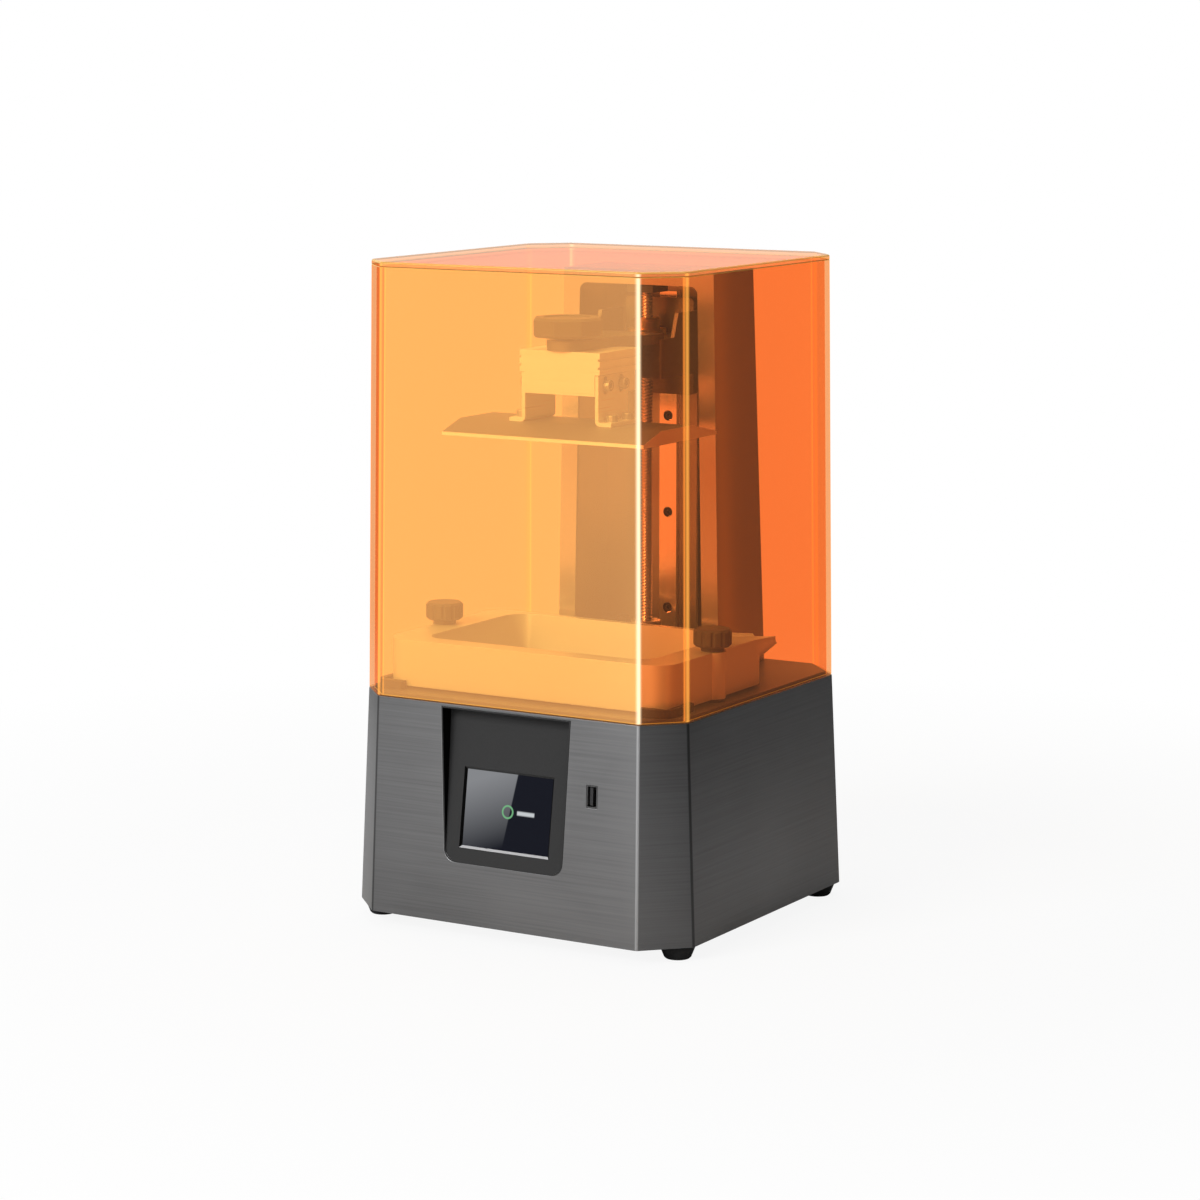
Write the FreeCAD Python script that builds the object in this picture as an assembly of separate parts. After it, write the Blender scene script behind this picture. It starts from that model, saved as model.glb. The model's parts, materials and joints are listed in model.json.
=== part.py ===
import FreeCAD, Part
import math
import os

# Desktop resin printer with a lift-off tinted cover, millimetres, +Z up.
# The front faces -Y, and the origin is on the table under the middle of the base.

# Overall form: octagonal base that flares towards the table, cover above the seam
SEAM_WIDTH = 220.0
FOOT_HEIGHT = 8.5
BASE_HEIGHT = 129.8
BASE_FLARE = 5.6
BASE_CORNER_TOP = 20.8
BASE_CORNER_BOTTOM = 24.2
BASE_EDGE = 3.25
COVER_HEIGHT = 255.7
COVER_NARROWING = 3.0
COVER_CORNER_TOP = 20.3
COVER_EDGE = 6.0
COVER_WALL = 3.0
COVER_BEVEL = 0.7
HOUSING_WALL = 2.0

# Base closing plates and feet
BOTTOM_PLATE = 1.5
BOTTOM_FLANGE = 10.0
FLANGE_THICK = 1.5
VENT_COUNT = 9
VENT_PITCH = 11.0
VENT_WIDTH = 4.0
VENT_LENGTH = 48.0
FOOT_X = 102.4
FOOT_Y = 87.2
FOOT_TOP_RADIUS = 10.4
FOOT_END_RADIUS = 8.0
DECK_RIM_THICK = 1.5
DECK_RISE = 2.2
DECK_STEP = 3.8
LEDGE_THICK = 2.0
LEDGE_WIDTH = 6.0

# Front control panel, a leaning plate in a wedge-shaped recess, and its screen
PANEL_TOP = 135.8
PANEL_BOTTOM = 45.9
PANEL_TOP_HALF = 43.4
PANEL_BOTTOM_HALF = 39.5
PANEL_DEPTH = 9.5
PANEL_THICK = 3.0
PANEL_RIM = 0.9
PANEL_ROUND = 7.0
SCREEN_WIDTH = 59.0
SCREEN_HEIGHT = 45.2
SCREEN_MIDDLE = 77.7
SCREEN_SINK = 1.4
SCREEN_GLASS = 1.2
SCREEN_BEVEL = 1.3
MODULE_MARGIN = 3.0
MODULE_CASE = 4.0
MODULE_BOARD = 1.6

# USB socket beside the panel
USB_X = 59.5
USB_Z = 94.2
USB_WIDTH = 7.0
USB_HEIGHT = 12.8
USB_DEPTH = 15.0
USB_SHEET = 0.5
USB_EAR_X = 3.0
USB_EAR_Z = 7.0
USB_EAR_THICK = 1.5
TONGUE_SHIFT = 0.9
TONGUE_WIDTH = 2.0

# Exposure optics under the deck, centred below the build plate
PRINT_Y = -27.0
LCD_WIDTH = 130.0
LCD_DEPTH = 76.0
LCD_THICK = 1.6
LCD_MARGIN = 4.0
LAMP_Z = 65.5
LAMP_BOARD = 60.0
LAMP_BOARD_THICK = 1.6
EMITTER_HALF = 12.0
EMITTER_RISE = 1.5
FUNNEL_WALL = 1.6
FUNNEL_INSET = 8.0
FUNNEL_FLANGE = 5.0
FUNNEL_FLANGE_THICK = 2.0
LIGHT_POST = 3.5
SINK_WIDTH = 90.0
SINK_DEPTH = 66.0
SINK_BASE = 5.4
FIN_COUNT = 9
FIN_DROP = 25.0
FIN_THICK = 2.0
BOARD_LIFT = 7.0
BOARD_THICK = 1.6
BOARD_HALF = 60.0
BOARD_FRONT = 16.0
BOARD_REAR = 86.0
STANDOFF = 2.6
STANDOFF_INSET = 5.0

# Column: tapered sheet-metal box, open to the front through a window
COLUMN_FRONT = 41.5
COLUMN_TOP = 384.1
COLUMN_HALF_TOP = 52.2
COLUMN_HALF_BOTTOM = 57.0
COLUMN_REAR_TOP = 91.0
COLUMN_REAR_BOTTOM = 100.0
COLUMN_SHEET = 2.0
WINDOW_MARGIN = 11.4
WINDOW_TOP = 375.1
WINDOW_ROUND = 5.0

# Z drive: vertical rail, lead screw in front of it, motor under the deck
SCREW_Y = 52.0
SCREW_RADIUS = 4.0
SCREW_TOP = 376.2
RAIL_WIDTH = 12.0
RAIL_FACE = 78.5
RAIL_HEIGHT = 8.0
RAIL_BOTTOM = 151.0
RAIL_TOP = 368.9
RAIL_FIRST_HOLE = 172.1
RAIL_PITCH = 60.0
RAIL_HOLES = 4
RAIL_COUNTERBORE = 3.2
RAIL_HOLE = 1.6
RAIL_PLATE_HALF = 16.0
RAIL_PLATE_THICK = 2.2
MOTOR_SIDE = 42.3
MOTOR_LENGTH = 40.0
MOTOR_CORNER = 4.5
MOTOR_PILOT = 11.0
MOTOR_BOLT_SPACING = 15.5
SHAFT_RADIUS = 2.5
COUPLER_RADIUS = 9.5
COUPLER_LENGTH = 25.0
COUPLER_LIFT = 0.8
BOLT_RADIUS = 1.5
BOLT_HEAD = 2.8
BOLT_HEAD_HEIGHT = 2.5

# Fits and gaps between pieces
RUNNING_FIT = 0.05
PRESS_FIT = 0.02
LOOSE_FIT = 0.2
BODY_GAP = 0.3
OVERCUT = 1.0

# Carriage and arm, at the height that the build plate rests at
CARRIAGE_BOTTOM = 306.9
CARRIAGE_TOP = 365.9
CARRIAGE_HALF = 24.0
BLOCK_WIDTH = 27.0
BLOCK_LENGTH = 45.0
BLOCK_RISE = 5.0
BLOCK_END = 4.0
CARRIAGE_THICK = 6.0
ARM_HALF = 28.0
ARM_FRONT = 22.0
ARM_BOTTOM = 320.9
ARM_TOP = 344.4
CHEEK_TOP = 358.9
CHEEK_THICK = 2.5
TONGUE_BOTTOM = 341.8
TONGUE_THICK = 6.0
TONGUE_HALF = 12.0
NUT_RADIUS = 5.2
NUT_FLANGE = 12.0
FLAG_DROP = 6.0
FLAG_LAP = 10.0
FLAG_REACH = 12.0
FLAG_THICK = 1.6

# Build platform hanging under the arm
KNOB_Y = -40.0
KNOB_RADIUS = 21.5
KNOB_HEIGHT = 11.6
KNOB_DISH = 14.0
KNOB_BEVEL = 1.6
KNOB_LIFT = 1.6
KNOB_HUB = 8.0
HEAD_FRONT = -49.5
HEAD_REAR = -3.0
HEAD_HALF = 27.5
HEAD_STEP_HALF = 24.0
HEAD_STEP = 12.5
HEAD_HEIGHT = 25.5
PLATE_HALF = 69.0
PLATE_FRONT = -70.0
PLATE_REAR = 16.0
PLATE_BOTTOM = 290.7
PLATE_EDGE = 2.0
PLATE_HEIGHT = 8.3
PLATE_FLAT_FRONT = -50.0
PLATE_FLAT_REAR = -14.0
HANGER_THICK = 2.3
HANGER_FOOT = 11.0
HANGER_FRONT = -49.0
HANGER_REAR = -15.0
HANGER_SCREW_Y = (-41.0, -23.0)
HANGER_SCREW_Z = 322.5
FOOT_SCREW_X = 30.9
SCREW_HEAD = 3.5
SCREW_SHANK = 2.0
SCREW_HEAD_HEIGHT = 4.0
SCREW_SOCKET = 1.7
STUD_RADIUS = 4.0
STUD_DEPTH = 19.0

# Resin vat, its film and its two thumb screws
VAT_HALF = 97.0
VAT_FRONT = -92.0
VAT_REAR = 30.0
VAT_TOP = 170.0
VAT_FLOOR = 142.3
VAT_ROUND = 14.0
TANK_HALF = 73.5
TANK_FRONT = -74.5
TANK_REAR = 20.5
TANK_DRAFT = 4.0
TANK_ROUND = 9.0
FILM_THICK = 0.3
THUMB_X = 93.4
THUMB_Y = -31.5
THUMB_RADIUS = 11.3
THUMB_HEIGHT = 10.4
THUMB_COLLAR = 6.9
THUMB_FLUTES = 12
FLUTE_RADIUS = 1.5
FLUTE_REACH = 0.7
THUMB_LIFT = 2.6
THUMB_BEVEL = 1.4
THUMB_STUD = 3.0
POST_RADIUS = 7.0
BOSS_RADIUS = 8.0
LIP_TIP_X = 103.0
LIP_TIP_Y = 39.0
GUIDE_HEIGHT = 5.0
GUIDE_LENGTH = 26.0
GUIDE_LAP = 16.0
GUIDE_FRONT = 5.0
GUIDE_SIDE = 4.0

# Rear wall: fan, mains rocker and low-voltage inlet
FAN_X = -45.0
FAN_Z = 76.5
FAN_SIZE = 60.0
FAN_DEPTH = 15.0
FAN_BORE = 28.5
FAN_BLADES = 7
GUARD_RADIUS = 27.9
SWITCH_X = 55.0
INLET_X = 80.0
POWER_Z = 46.5
ROCKER_TILT = 9.0
ROCKER_PIN = 1.2
ROCKER_SINK = 3.2
FAN_STRUT = 2.5
FAN_AXLE = 1.5
FAN_HUB = 11.0
FAN_HOLE_SPACING = 25.0
FAN_HOLE = 2.0
GUARD_SLOT = 4.2
GUARD_RINGS = (8.0, 15.0, 22.0)
SWITCH_WIDTH = 12.6
SWITCH_HEIGHT = 19.0
SWITCH_DEPTH = 16.0
INLET_RADIUS = 5.5
INLET_BORE = 3.3
INLET_PIN = 1.0

# Heights worked out from the values above
BASE_Z = FOOT_HEIGHT
SEAM_Z = BASE_Z + BASE_HEIGHT
COVER_Z = SEAM_Z + BODY_GAP
TOP_Z = COVER_Z + COVER_HEIGHT
DECK_UNDER = SEAM_Z - DECK_RIM_THICK
DECK_Z = SEAM_Z + DECK_RISE
FLOOR_Z = BASE_Z + BOTTOM_PLATE
COLUMN_FLOOR = DECK_Z + COLUMN_SHEET
BOARD_Z = FLOOR_Z + BOARD_LIFT
COUPLER_Z = COLUMN_FLOOR + COUPLER_LIFT
COUPLER_TOP = COUPLER_Z + COUPLER_LENGTH
COUPLER_MIDDLE = COUPLER_Z + COUPLER_LENGTH / 2
TONGUE_TOP = TONGUE_BOTTOM + TONGUE_THICK
BLOCK_FACE = RAIL_FACE - BLOCK_RISE
PLATE_TOP = PLATE_BOTTOM + PLATE_HEIGHT
HEAD_BOTTOM = TONGUE_BOTTOM - HEAD_HEIGHT
CORNER_SHRINK = 2.0 - math.sqrt(2.0)

X_AXIS = FreeCAD.Vector(1, 0, 0)
Y_AXIS = FreeCAD.Vector(0, 1, 0)
Z_AXIS = FreeCAD.Vector(0, 0, 1)


# Basic shapes

def vec(x, y, z):
    return FreeCAD.Vector(x, y, z)


def box(x0, x1, y0, y1, z0, z1):
    return Part.makeBox(x1 - x0, y1 - y0, z1 - z0, vec(x0, y0, z0))


def rod(radius, start, axis, length):
    return Part.makeCylinder(radius, length, start, axis)


def upright(radius, x, y, z0, z1):
    return rod(radius, vec(x, y, z0), Z_AXIS, z1 - z0)


def rounded_wire(corners, radii):
    # Closed outline through the corners, each one rounded by its own radius
    count = len(corners)
    starts = []
    middles = []
    ends = []
    for index, corner in enumerate(corners):
        back = (corners[index - 1] - corner).normalize()
        ahead = (corners[(index + 1) % count] - corner).normalize()
        half = back.getAngle(ahead) / 2
        radius = radii[index]
        reach = radius / math.tan(half)
        inward = (back + ahead).normalize()
        starts.append(corner + back * reach)
        middles.append(corner + inward * (radius / math.sin(half) - radius))
        ends.append(corner + ahead * reach)
    edges = []
    for index in range(count):
        following = starts[(index + 1) % count]
        if radii[index] > 0:
            edges.append(Part.Arc(starts[index], middles[index], ends[index]).toShape())
        if (following - ends[index]).Length > 1e-6:
            edges.append(Part.makeLine(ends[index], following))
    return Part.Wire(edges)


def prism(corners, sweep, radius=0.0):
    return Part.Face(rounded_wire(corners, [radius] * len(corners))).extrude(sweep)


def rectangle(x0, x1, y0, y1, z, radius):
    corners = [vec(x0, y0, z), vec(x1, y0, z), vec(x1, y1, z), vec(x0, y1, z)]
    return rounded_wire(corners, [radius] * 4)


def slab(x0, x1, y0, y1, z0, z1, radius):
    # Plate or block with rounded upright edges
    return Part.Face(rectangle(x0, x1, y0, y1, z0, radius)).extrude(Z_AXIS * (z1 - z0))


def revolved(profile, x, y):
    # Solid of revolution about the upright line through x and y, from radius and height pairs
    points = [vec(radius, 0, height) for radius, height in profile]
    wire = Part.makePolygon(points + points[:1])
    turned = Part.Face(wire).revolve(vec(0, 0, 0), Z_AXIS, 360)
    turned.translate(vec(x, y, 0))
    return turned


def joined(first, *others):
    return first.multiFuse(list(others)).removeSplitter()


def octagon(half, corner, z, edge=0.0):
    # Square with cut corners, and its eight edges rounded
    inner = half - corner
    corners = [
        vec(-inner, -half, z), vec(inner, -half, z), vec(half, -inner, z), vec(half, inner, z),
        vec(inner, half, z), vec(-inner, half, z), vec(-half, inner, z), vec(-half, -inner, z),
    ]
    return rounded_wire(corners, [edge] * len(corners))


def between(low, high, share):
    return low + (high - low) * share


def base_half(z):
    # Half width of the flared base at a height
    return SEAM_WIDTH / 2 + BASE_FLARE * (SEAM_Z - z) / BASE_HEIGHT


FAN_FACE = base_half(FAN_Z + FAN_SIZE / 2) - HOUSING_WALL
ROCKER_PIVOT = base_half(POWER_Z) - ROCKER_SINK


def base_core(inset, z0, z1):
    # Slice of the base's outer form, moved in by the inset
    wires = []
    for z in (z0, z1):
        corner = between(BASE_CORNER_TOP, BASE_CORNER_BOTTOM, (SEAM_Z - z) / BASE_HEIGHT)
        edge = max(BASE_EDGE - inset, 0)
        wires.append(octagon(base_half(z) - inset, corner - CORNER_SHRINK * inset, z, edge))
    return Part.makeLoft(wires, True, True)


def cover_wire(inset, z):
    # The cover's outline at a height, moved in by the inset
    share = (z - COVER_Z) / COVER_HEIGHT
    half = SEAM_WIDTH / 2 - COVER_NARROWING * share - inset
    corner = between(BASE_CORNER_TOP, COVER_CORNER_TOP, share) - CORNER_SHRINK * inset
    return octagon(half, corner, z, COVER_EDGE - inset)


def cover_core(inset, z0, z1):
    return Part.makeLoft([cover_wire(inset, z0), cover_wire(inset, z1)], True, True)


# Front control panel: its outline, its lean and what is fixed to it

def panel_face(z):
    bottom = -base_half(PANEL_BOTTOM)
    top = -base_half(PANEL_TOP) + PANEL_DEPTH
    return between(bottom, top, (z - PANEL_BOTTOM) / (PANEL_TOP - PANEL_BOTTOM))


def panel_outline(grow):
    # Prism through the front wall, wider at the top, with round lower corners
    top = PANEL_TOP + grow
    bottom = PANEL_BOTTOM - grow
    front = -base_half(BASE_Z) - 1
    corners = [
        vec(-PANEL_BOTTOM_HALF - grow, front, bottom), vec(PANEL_BOTTOM_HALF + grow, front, bottom),
        vec(PANEL_TOP_HALF + grow, front, top), vec(-PANEL_TOP_HALF - grow, front, top),
    ]
    round_low = PANEL_ROUND + grow
    wire = rounded_wire(corners, [round_low, round_low, 0, 0])
    return Part.Face(wire).extrude(Y_AXIS * (PANEL_DEPTH + PANEL_THICK + 10))


def side_profile(points, half):
    # Prism across the machine from pairs of depth and height
    corners = [vec(-half, depth, height) for depth, height in points]
    return prism(corners, X_AXIS * (2 * half))


def panel_lean():
    setback = panel_face(PANEL_TOP) - panel_face(PANEL_BOTTOM)
    return math.degrees(math.atan2(setback, PANEL_TOP - PANEL_BOTTOM))


def on_panel(shape):
    # Puts a shape, drawn with the panel face in the XZ plane, onto the leaning panel
    shape.rotate(vec(0, 0, 0), X_AXIS, -panel_lean())
    shape.translate(vec(0, panel_face(SCREEN_MIDDLE), SCREEN_MIDDLE))
    return shape


def screen_window():
    half_x = SCREEN_WIDTH / 2
    half_z = SCREEN_HEIGHT / 2
    wires = []
    for grow, depth in ((SCREEN_BEVEL, 0), (0, SCREEN_BEVEL)):
        corners = [
            vec(-half_x - grow, depth, -half_z - grow), vec(half_x + grow, depth, -half_z - grow),
            vec(half_x + grow, depth, half_z + grow), vec(-half_x - grow, depth, half_z + grow),
        ]
        wires.append(Part.makePolygon(corners + corners[:1]))
    bevel = Part.makeLoft(wires, True, True)
    through = box(-half_x, half_x, -1, PANEL_THICK + 2, -half_z, half_z)
    return on_panel(bevel.fuse(through))


def control_panel():
    low = PANEL_BOTTOM - PANEL_RIM
    high = PANEL_TOP + PANEL_RIM
    body = side_profile([
        (-base_half(low), low), (panel_face(low) + PANEL_THICK, low),
        (panel_face(high) + PANEL_THICK, high), (-base_half(high), high),
    ], PANEL_TOP_HALF + PANEL_RIM + 1)
    front = -base_half(BASE_Z) - 2
    recess = side_profile([
        (front, PANEL_BOTTOM), (panel_face(PANEL_BOTTOM), PANEL_BOTTOM),
        (panel_face(PANEL_TOP), PANEL_TOP), (front, PANEL_TOP),
    ], PANEL_TOP_HALF + 1)
    tray = body.common(panel_outline(PANEL_RIM))
    return tray.cut(recess.common(panel_outline(0))).cut(screen_window())


def touch_screen():
    half_x = SCREEN_WIDTH / 2 - 0.1
    half_z = SCREEN_HEIGHT / 2 - 0.1
    return on_panel(box(-half_x, half_x, SCREEN_SINK, SCREEN_SINK + SCREEN_GLASS, -half_z, half_z))


def screen_module():
    half_x = SCREEN_WIDTH / 2
    half_z = SCREEN_HEIGHT / 2
    back = SCREEN_SINK + SCREEN_GLASS
    inset = 0.5
    display = box(-half_x + inset, half_x - inset, back, PANEL_THICK, -half_z + inset, half_z - inset)
    board_x = half_x + MODULE_MARGIN
    board_z = half_z + MODULE_MARGIN
    board = slab(-board_x, board_x, -board_z, board_z, 0, MODULE_BOARD, 2)
    board.rotate(vec(0, 0, 0), X_AXIS, 90)
    board.translate(vec(0, PANEL_THICK + MODULE_CASE + MODULE_BOARD, 0))
    casing = box(
        -half_x - 1, half_x + 1, PANEL_THICK, PANEL_THICK + MODULE_CASE, -half_z - 1, half_z + 1)
    return on_panel(joined(display, casing, board))


def usb_place(shape):
    # Turns a shape drawn with the wall's outer face in the XZ plane to the sloping front wall
    slope = math.degrees(math.atan2(BASE_FLARE, BASE_HEIGHT))
    shape.rotate(vec(0, 0, 0), X_AXIS, -slope)
    shape.translate(vec(USB_X, -base_half(USB_Z), USB_Z))
    return shape


def usb_socket():
    half_x = USB_WIDTH / 2
    half_z = USB_HEIGHT / 2
    shell = box(-half_x, half_x, BODY_GAP, USB_DEPTH, -half_z, half_z)
    in_x = half_x - USB_SHEET
    in_z = half_z - USB_SHEET
    inside = box(-in_x, in_x, 0, USB_DEPTH - 2, -in_z, in_z)
    ear_x = half_x + USB_EAR_X
    ear_z = half_z + USB_EAR_Z
    ears = box(-ear_x, ear_x, HOUSING_WALL, HOUSING_WALL + USB_EAR_THICK, -ear_z, ear_z)
    return usb_place(joined(shell, ears).cut(inside))


def usb_tongue():
    x0 = -TONGUE_SHIFT - TONGUE_WIDTH / 2
    half_z = USB_HEIGHT / 2 - 1.2
    return usb_place(box(x0, x0 + TONGUE_WIDTH, 1.5, USB_DEPTH - 2, -half_z, half_z))


# Base: housing, plates and feet

def base_housing():
    shell = base_core(0, BASE_Z, SEAM_Z).cut(base_core(HOUSING_WALL, BASE_Z, SEAM_Z))
    flange_top = FLOOR_Z + FLANGE_THICK
    flange = base_core(HOUSING_WALL, FLOOR_Z, flange_top)
    flange = flange.cut(base_core(HOUSING_WALL + BOTTOM_FLANGE, FLOOR_Z, flange_top))
    ledge_z = DECK_UNDER - LEDGE_THICK
    ledge = base_core(HOUSING_WALL, ledge_z, DECK_UNDER)
    ledge = ledge.cut(base_core(HOUSING_WALL + LEDGE_WIDTH, ledge_z, DECK_UNDER))
    housing = joined(shell, flange, ledge)
    rear = base_half(BASE_Z)
    clear = LOOSE_FIT
    usb_hole = box(
        -USB_WIDTH / 2 - clear, USB_WIDTH / 2 + clear, -3, HOUSING_WALL + 1,
        -USB_HEIGHT / 2 - clear, USB_HEIGHT / 2 + clear)
    cuts = [
        panel_outline(PANEL_RIM),
        usb_place(usb_hole),
        rod(GUARD_RADIUS + 0.1, vec(FAN_X, rear - 12, FAN_Z), Y_AXIS, 20),
        switch_hole(clear),
        rod(INLET_RADIUS + clear, vec(INLET_X, rear - 12, POWER_Z), Y_AXIS, 20),
    ]
    return housing.cut(cuts)


def bottom_plate():
    plate = base_core(HOUSING_WALL + LOOSE_FIT, BASE_Z, FLOOR_Z)
    half = VENT_WIDTH / 2
    reach = VENT_LENGTH / 2
    low = BASE_Z - OVERCUT
    high = FLOOR_Z + OVERCUT
    slots = []
    for index in range(VENT_COUNT):
        x = (index - (VENT_COUNT - 1) / 2) * VENT_PITCH
        slots.append(box(x - half, x + half, PRINT_Y - reach, PRINT_Y + reach, low, high))
    return plate.cut(slots)


def corner_pattern(shape, x, y):
    # The same shape at the four corners, as one group of solids
    copies = []
    for side in (-1, 1):
        for end in (-1, 1):
            copy = shape.copy()
            copy.translate(vec(side * x, end * y, 0))
            copies.append(copy)
    return Part.makeCompound(copies)


def rubber_feet():
    foot = revolved([
        (0, 0), (FOOT_END_RADIUS - 1, 0), (FOOT_END_RADIUS, 1), (FOOT_TOP_RADIUS, FOOT_HEIGHT - 1.5),
        (FOOT_TOP_RADIUS, FOOT_HEIGHT), (0, FOOT_HEIGHT),
    ], 0, 0)
    return corner_pattern(foot, FOOT_X, FOOT_Y)


def deck_plate():
    rim = base_core(HOUSING_WALL + 0.1, DECK_UNDER, SEAM_Z)
    field_wire = octagon(SEAM_WIDTH / 2 - DECK_STEP, BASE_CORNER_TOP - CORNER_SHRINK * DECK_STEP, SEAM_Z)
    field = Part.Face(field_wire).extrude(Z_AXIS * DECK_RISE)
    deck = joined(rim, field)
    half_x = LCD_WIDTH / 2
    half_y = LCD_DEPTH / 2
    low = DECK_UNDER - OVERCUT
    high = DECK_Z + OVERCUT
    pocket = box(-half_x, half_x, PRINT_Y - half_y, PRINT_Y + half_y, DECK_Z - LCD_THICK, high)
    light = box(
        -half_x + LCD_MARGIN, half_x - LCD_MARGIN, PRINT_Y - half_y + LCD_MARGIN,
        PRINT_Y + half_y - LCD_MARGIN, low, DECK_Z)
    cuts = [pocket, light, upright(MOTOR_PILOT + LOOSE_FIT, 0, SCREW_Y, low, high)]
    for side in (-1, 1):
        cuts.append(upright(THUMB_STUD + RUNNING_FIT, side * THUMB_X, THUMB_Y, low, high))
    cuts.append(motor_bolts(BOLT_RADIUS + RUNNING_FIT, low, high))
    return deck.cut(cuts)


# Light engine under the deck

def mask_lcd():
    half_x = LCD_WIDTH / 2 - LOOSE_FIT
    half_y = LCD_DEPTH / 2 - LOOSE_FIT
    return box(-half_x, half_x, PRINT_Y - half_y, PRINT_Y + half_y, DECK_Z - LCD_THICK, DECK_Z)


def funnel(inset):
    # Four-sided taper from the lamp up to the mask, as two crossed wedges
    low = LAMP_BOARD / 2 - FUNNEL_INSET - inset
    top_x = LCD_WIDTH / 2 - inset
    top_y = LCD_DEPTH / 2 - inset
    front = PRINT_Y - LCD_WIDTH
    across = prism([
        vec(-low, front, LAMP_Z), vec(low, front, LAMP_Z),
        vec(top_x, front, DECK_UNDER), vec(-top_x, front, DECK_UNDER),
    ], Y_AXIS * (2 * LCD_WIDTH))
    along = prism([
        vec(-LCD_WIDTH, PRINT_Y - low, LAMP_Z), vec(-LCD_WIDTH, PRINT_Y + low, LAMP_Z),
        vec(-LCD_WIDTH, PRINT_Y + top_y, DECK_UNDER), vec(-LCD_WIDTH, PRINT_Y - top_y, DECK_UNDER),
    ], X_AXIS * (2 * LCD_WIDTH))
    return across.common(along)


def light_housing():
    # Funnel from the lamp up to the mask, with a flange against the deck
    rim_x = LCD_WIDTH / 2 + FUNNEL_FLANGE
    rim_y = LCD_DEPTH / 2 + FUNNEL_FLANGE
    under = DECK_UNDER - FUNNEL_FLANGE_THICK
    flange = box(-rim_x, rim_x, PRINT_Y - rim_y, PRINT_Y + rim_y, under, DECK_UNDER)
    return joined(funnel(0), flange).cut(funnel(FUNNEL_WALL))


def led_array():
    half = LAMP_BOARD / 2
    board = slab(-half, half, PRINT_Y - half, PRINT_Y + half, LAMP_Z - LAMP_BOARD_THICK, LAMP_Z, 3)
    reach = EMITTER_HALF
    emitter = slab(-reach, reach, PRINT_Y - reach, PRINT_Y + reach, LAMP_Z, LAMP_Z + EMITTER_RISE, 2)
    return joined(board, emitter)


def heat_sink():
    top = LAMP_Z - LAMP_BOARD_THICK
    base = slab(
        -SINK_WIDTH / 2, SINK_WIDTH / 2, PRINT_Y - SINK_DEPTH / 2, PRINT_Y + SINK_DEPTH / 2,
        top - SINK_BASE, top, 3)
    fins = []
    reach = LAMP_BOARD / 2
    pitch = (2 * reach - FIN_THICK) / (FIN_COUNT - 1)
    for index in range(FIN_COUNT):
        x = -reach + index * pitch
        fins.append(box(
            x, x + FIN_THICK, PRINT_Y - SINK_DEPTH / 2, PRINT_Y + SINK_DEPTH / 2,
            top - SINK_BASE - FIN_DROP, top - SINK_BASE))
    return joined(base, *fins)


def light_posts():
    top = LAMP_Z - LAMP_BOARD_THICK - SINK_BASE
    post = upright(LIGHT_POST, 0, 0, FLOOR_Z, top)
    posts = corner_pattern(post, SINK_WIDTH / 2 - 5, SINK_DEPTH / 2 - 6)
    posts.translate(vec(0, PRINT_Y, 0))
    return posts


def mainboard():
    # Circuit board with its connectors, processor, drivers and capacitors
    z = BOARD_Z
    board = slab(-BOARD_HALF, BOARD_HALF, BOARD_FRONT, BOARD_REAR, z, z + BOARD_THICK, 3)
    top = z + BOARD_THICK
    parts = [
        box(-18, 2, 40, 60, top, top + 2),
        box(14, 24, 44, 54, top, top + 1.5),
        box(30, 46, 24, 40, top, top + 7),
        box(-54, -36, 76, 85, top, top + 11),
    ]
    for index in range(4):
        x = -50 + index * 16
        parts.append(box(x, x + 10, 18, 24, top, top + 6))
    for index in range(3):
        parts.append(upright(4, 20 + index * 12, 74, top, top + 11))
    return joined(board, *parts)


def board_standoffs():
    reach_x = BOARD_HALF - STANDOFF_INSET
    reach_y = (BOARD_REAR - BOARD_FRONT) / 2 - STANDOFF_INSET
    posts = corner_pattern(upright(STANDOFF, 0, 0, FLOOR_Z, BOARD_Z), reach_x, reach_y)
    posts.translate(vec(0, (BOARD_FRONT + BOARD_REAR) / 2, 0))
    return posts


# Rear wall fittings

def fan_frame():
    half = FAN_SIZE / 2
    corners = [
        vec(FAN_X - half, FAN_FACE, FAN_Z - half), vec(FAN_X + half, FAN_FACE, FAN_Z - half),
        vec(FAN_X + half, FAN_FACE, FAN_Z + half), vec(FAN_X - half, FAN_FACE, FAN_Z + half),
    ]
    frame = prism(corners, Y_AXIS * -FAN_DEPTH, 4)
    inner_face = FAN_FACE - FAN_DEPTH
    frame = frame.cut(rod(FAN_BORE, vec(FAN_X, inner_face - OVERCUT, FAN_Z), Y_AXIS, FAN_DEPTH + 2))
    struts = []
    for turn in (45, 135):
        strut = box(-1.5, 1.5, inner_face, inner_face + FAN_STRUT, -FAN_BORE - 0.5, FAN_BORE + 0.5)
        strut.rotate(vec(0, 0, 0), Y_AXIS, turn)
        strut.translate(vec(FAN_X, 0, FAN_Z))
        struts.append(strut)
    hub = rod(FAN_HUB, vec(FAN_X, inner_face, FAN_Z), Y_AXIS, FAN_STRUT)
    bearing = rod(FAN_AXLE + RUNNING_FIT, vec(FAN_X, inner_face - OVERCUT, FAN_Z), Y_AXIS, FAN_STRUT + 2)
    holes = []
    for side in (-FAN_HOLE_SPACING, FAN_HOLE_SPACING):
        for end in (-FAN_HOLE_SPACING, FAN_HOLE_SPACING):
            start = vec(FAN_X + side, inner_face - OVERCUT, FAN_Z + end)
            holes.append(rod(FAN_HOLE, start, Y_AXIS, FAN_DEPTH + 2))
    return joined(frame, hub, *struts).cut([bearing] + holes)


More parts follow.
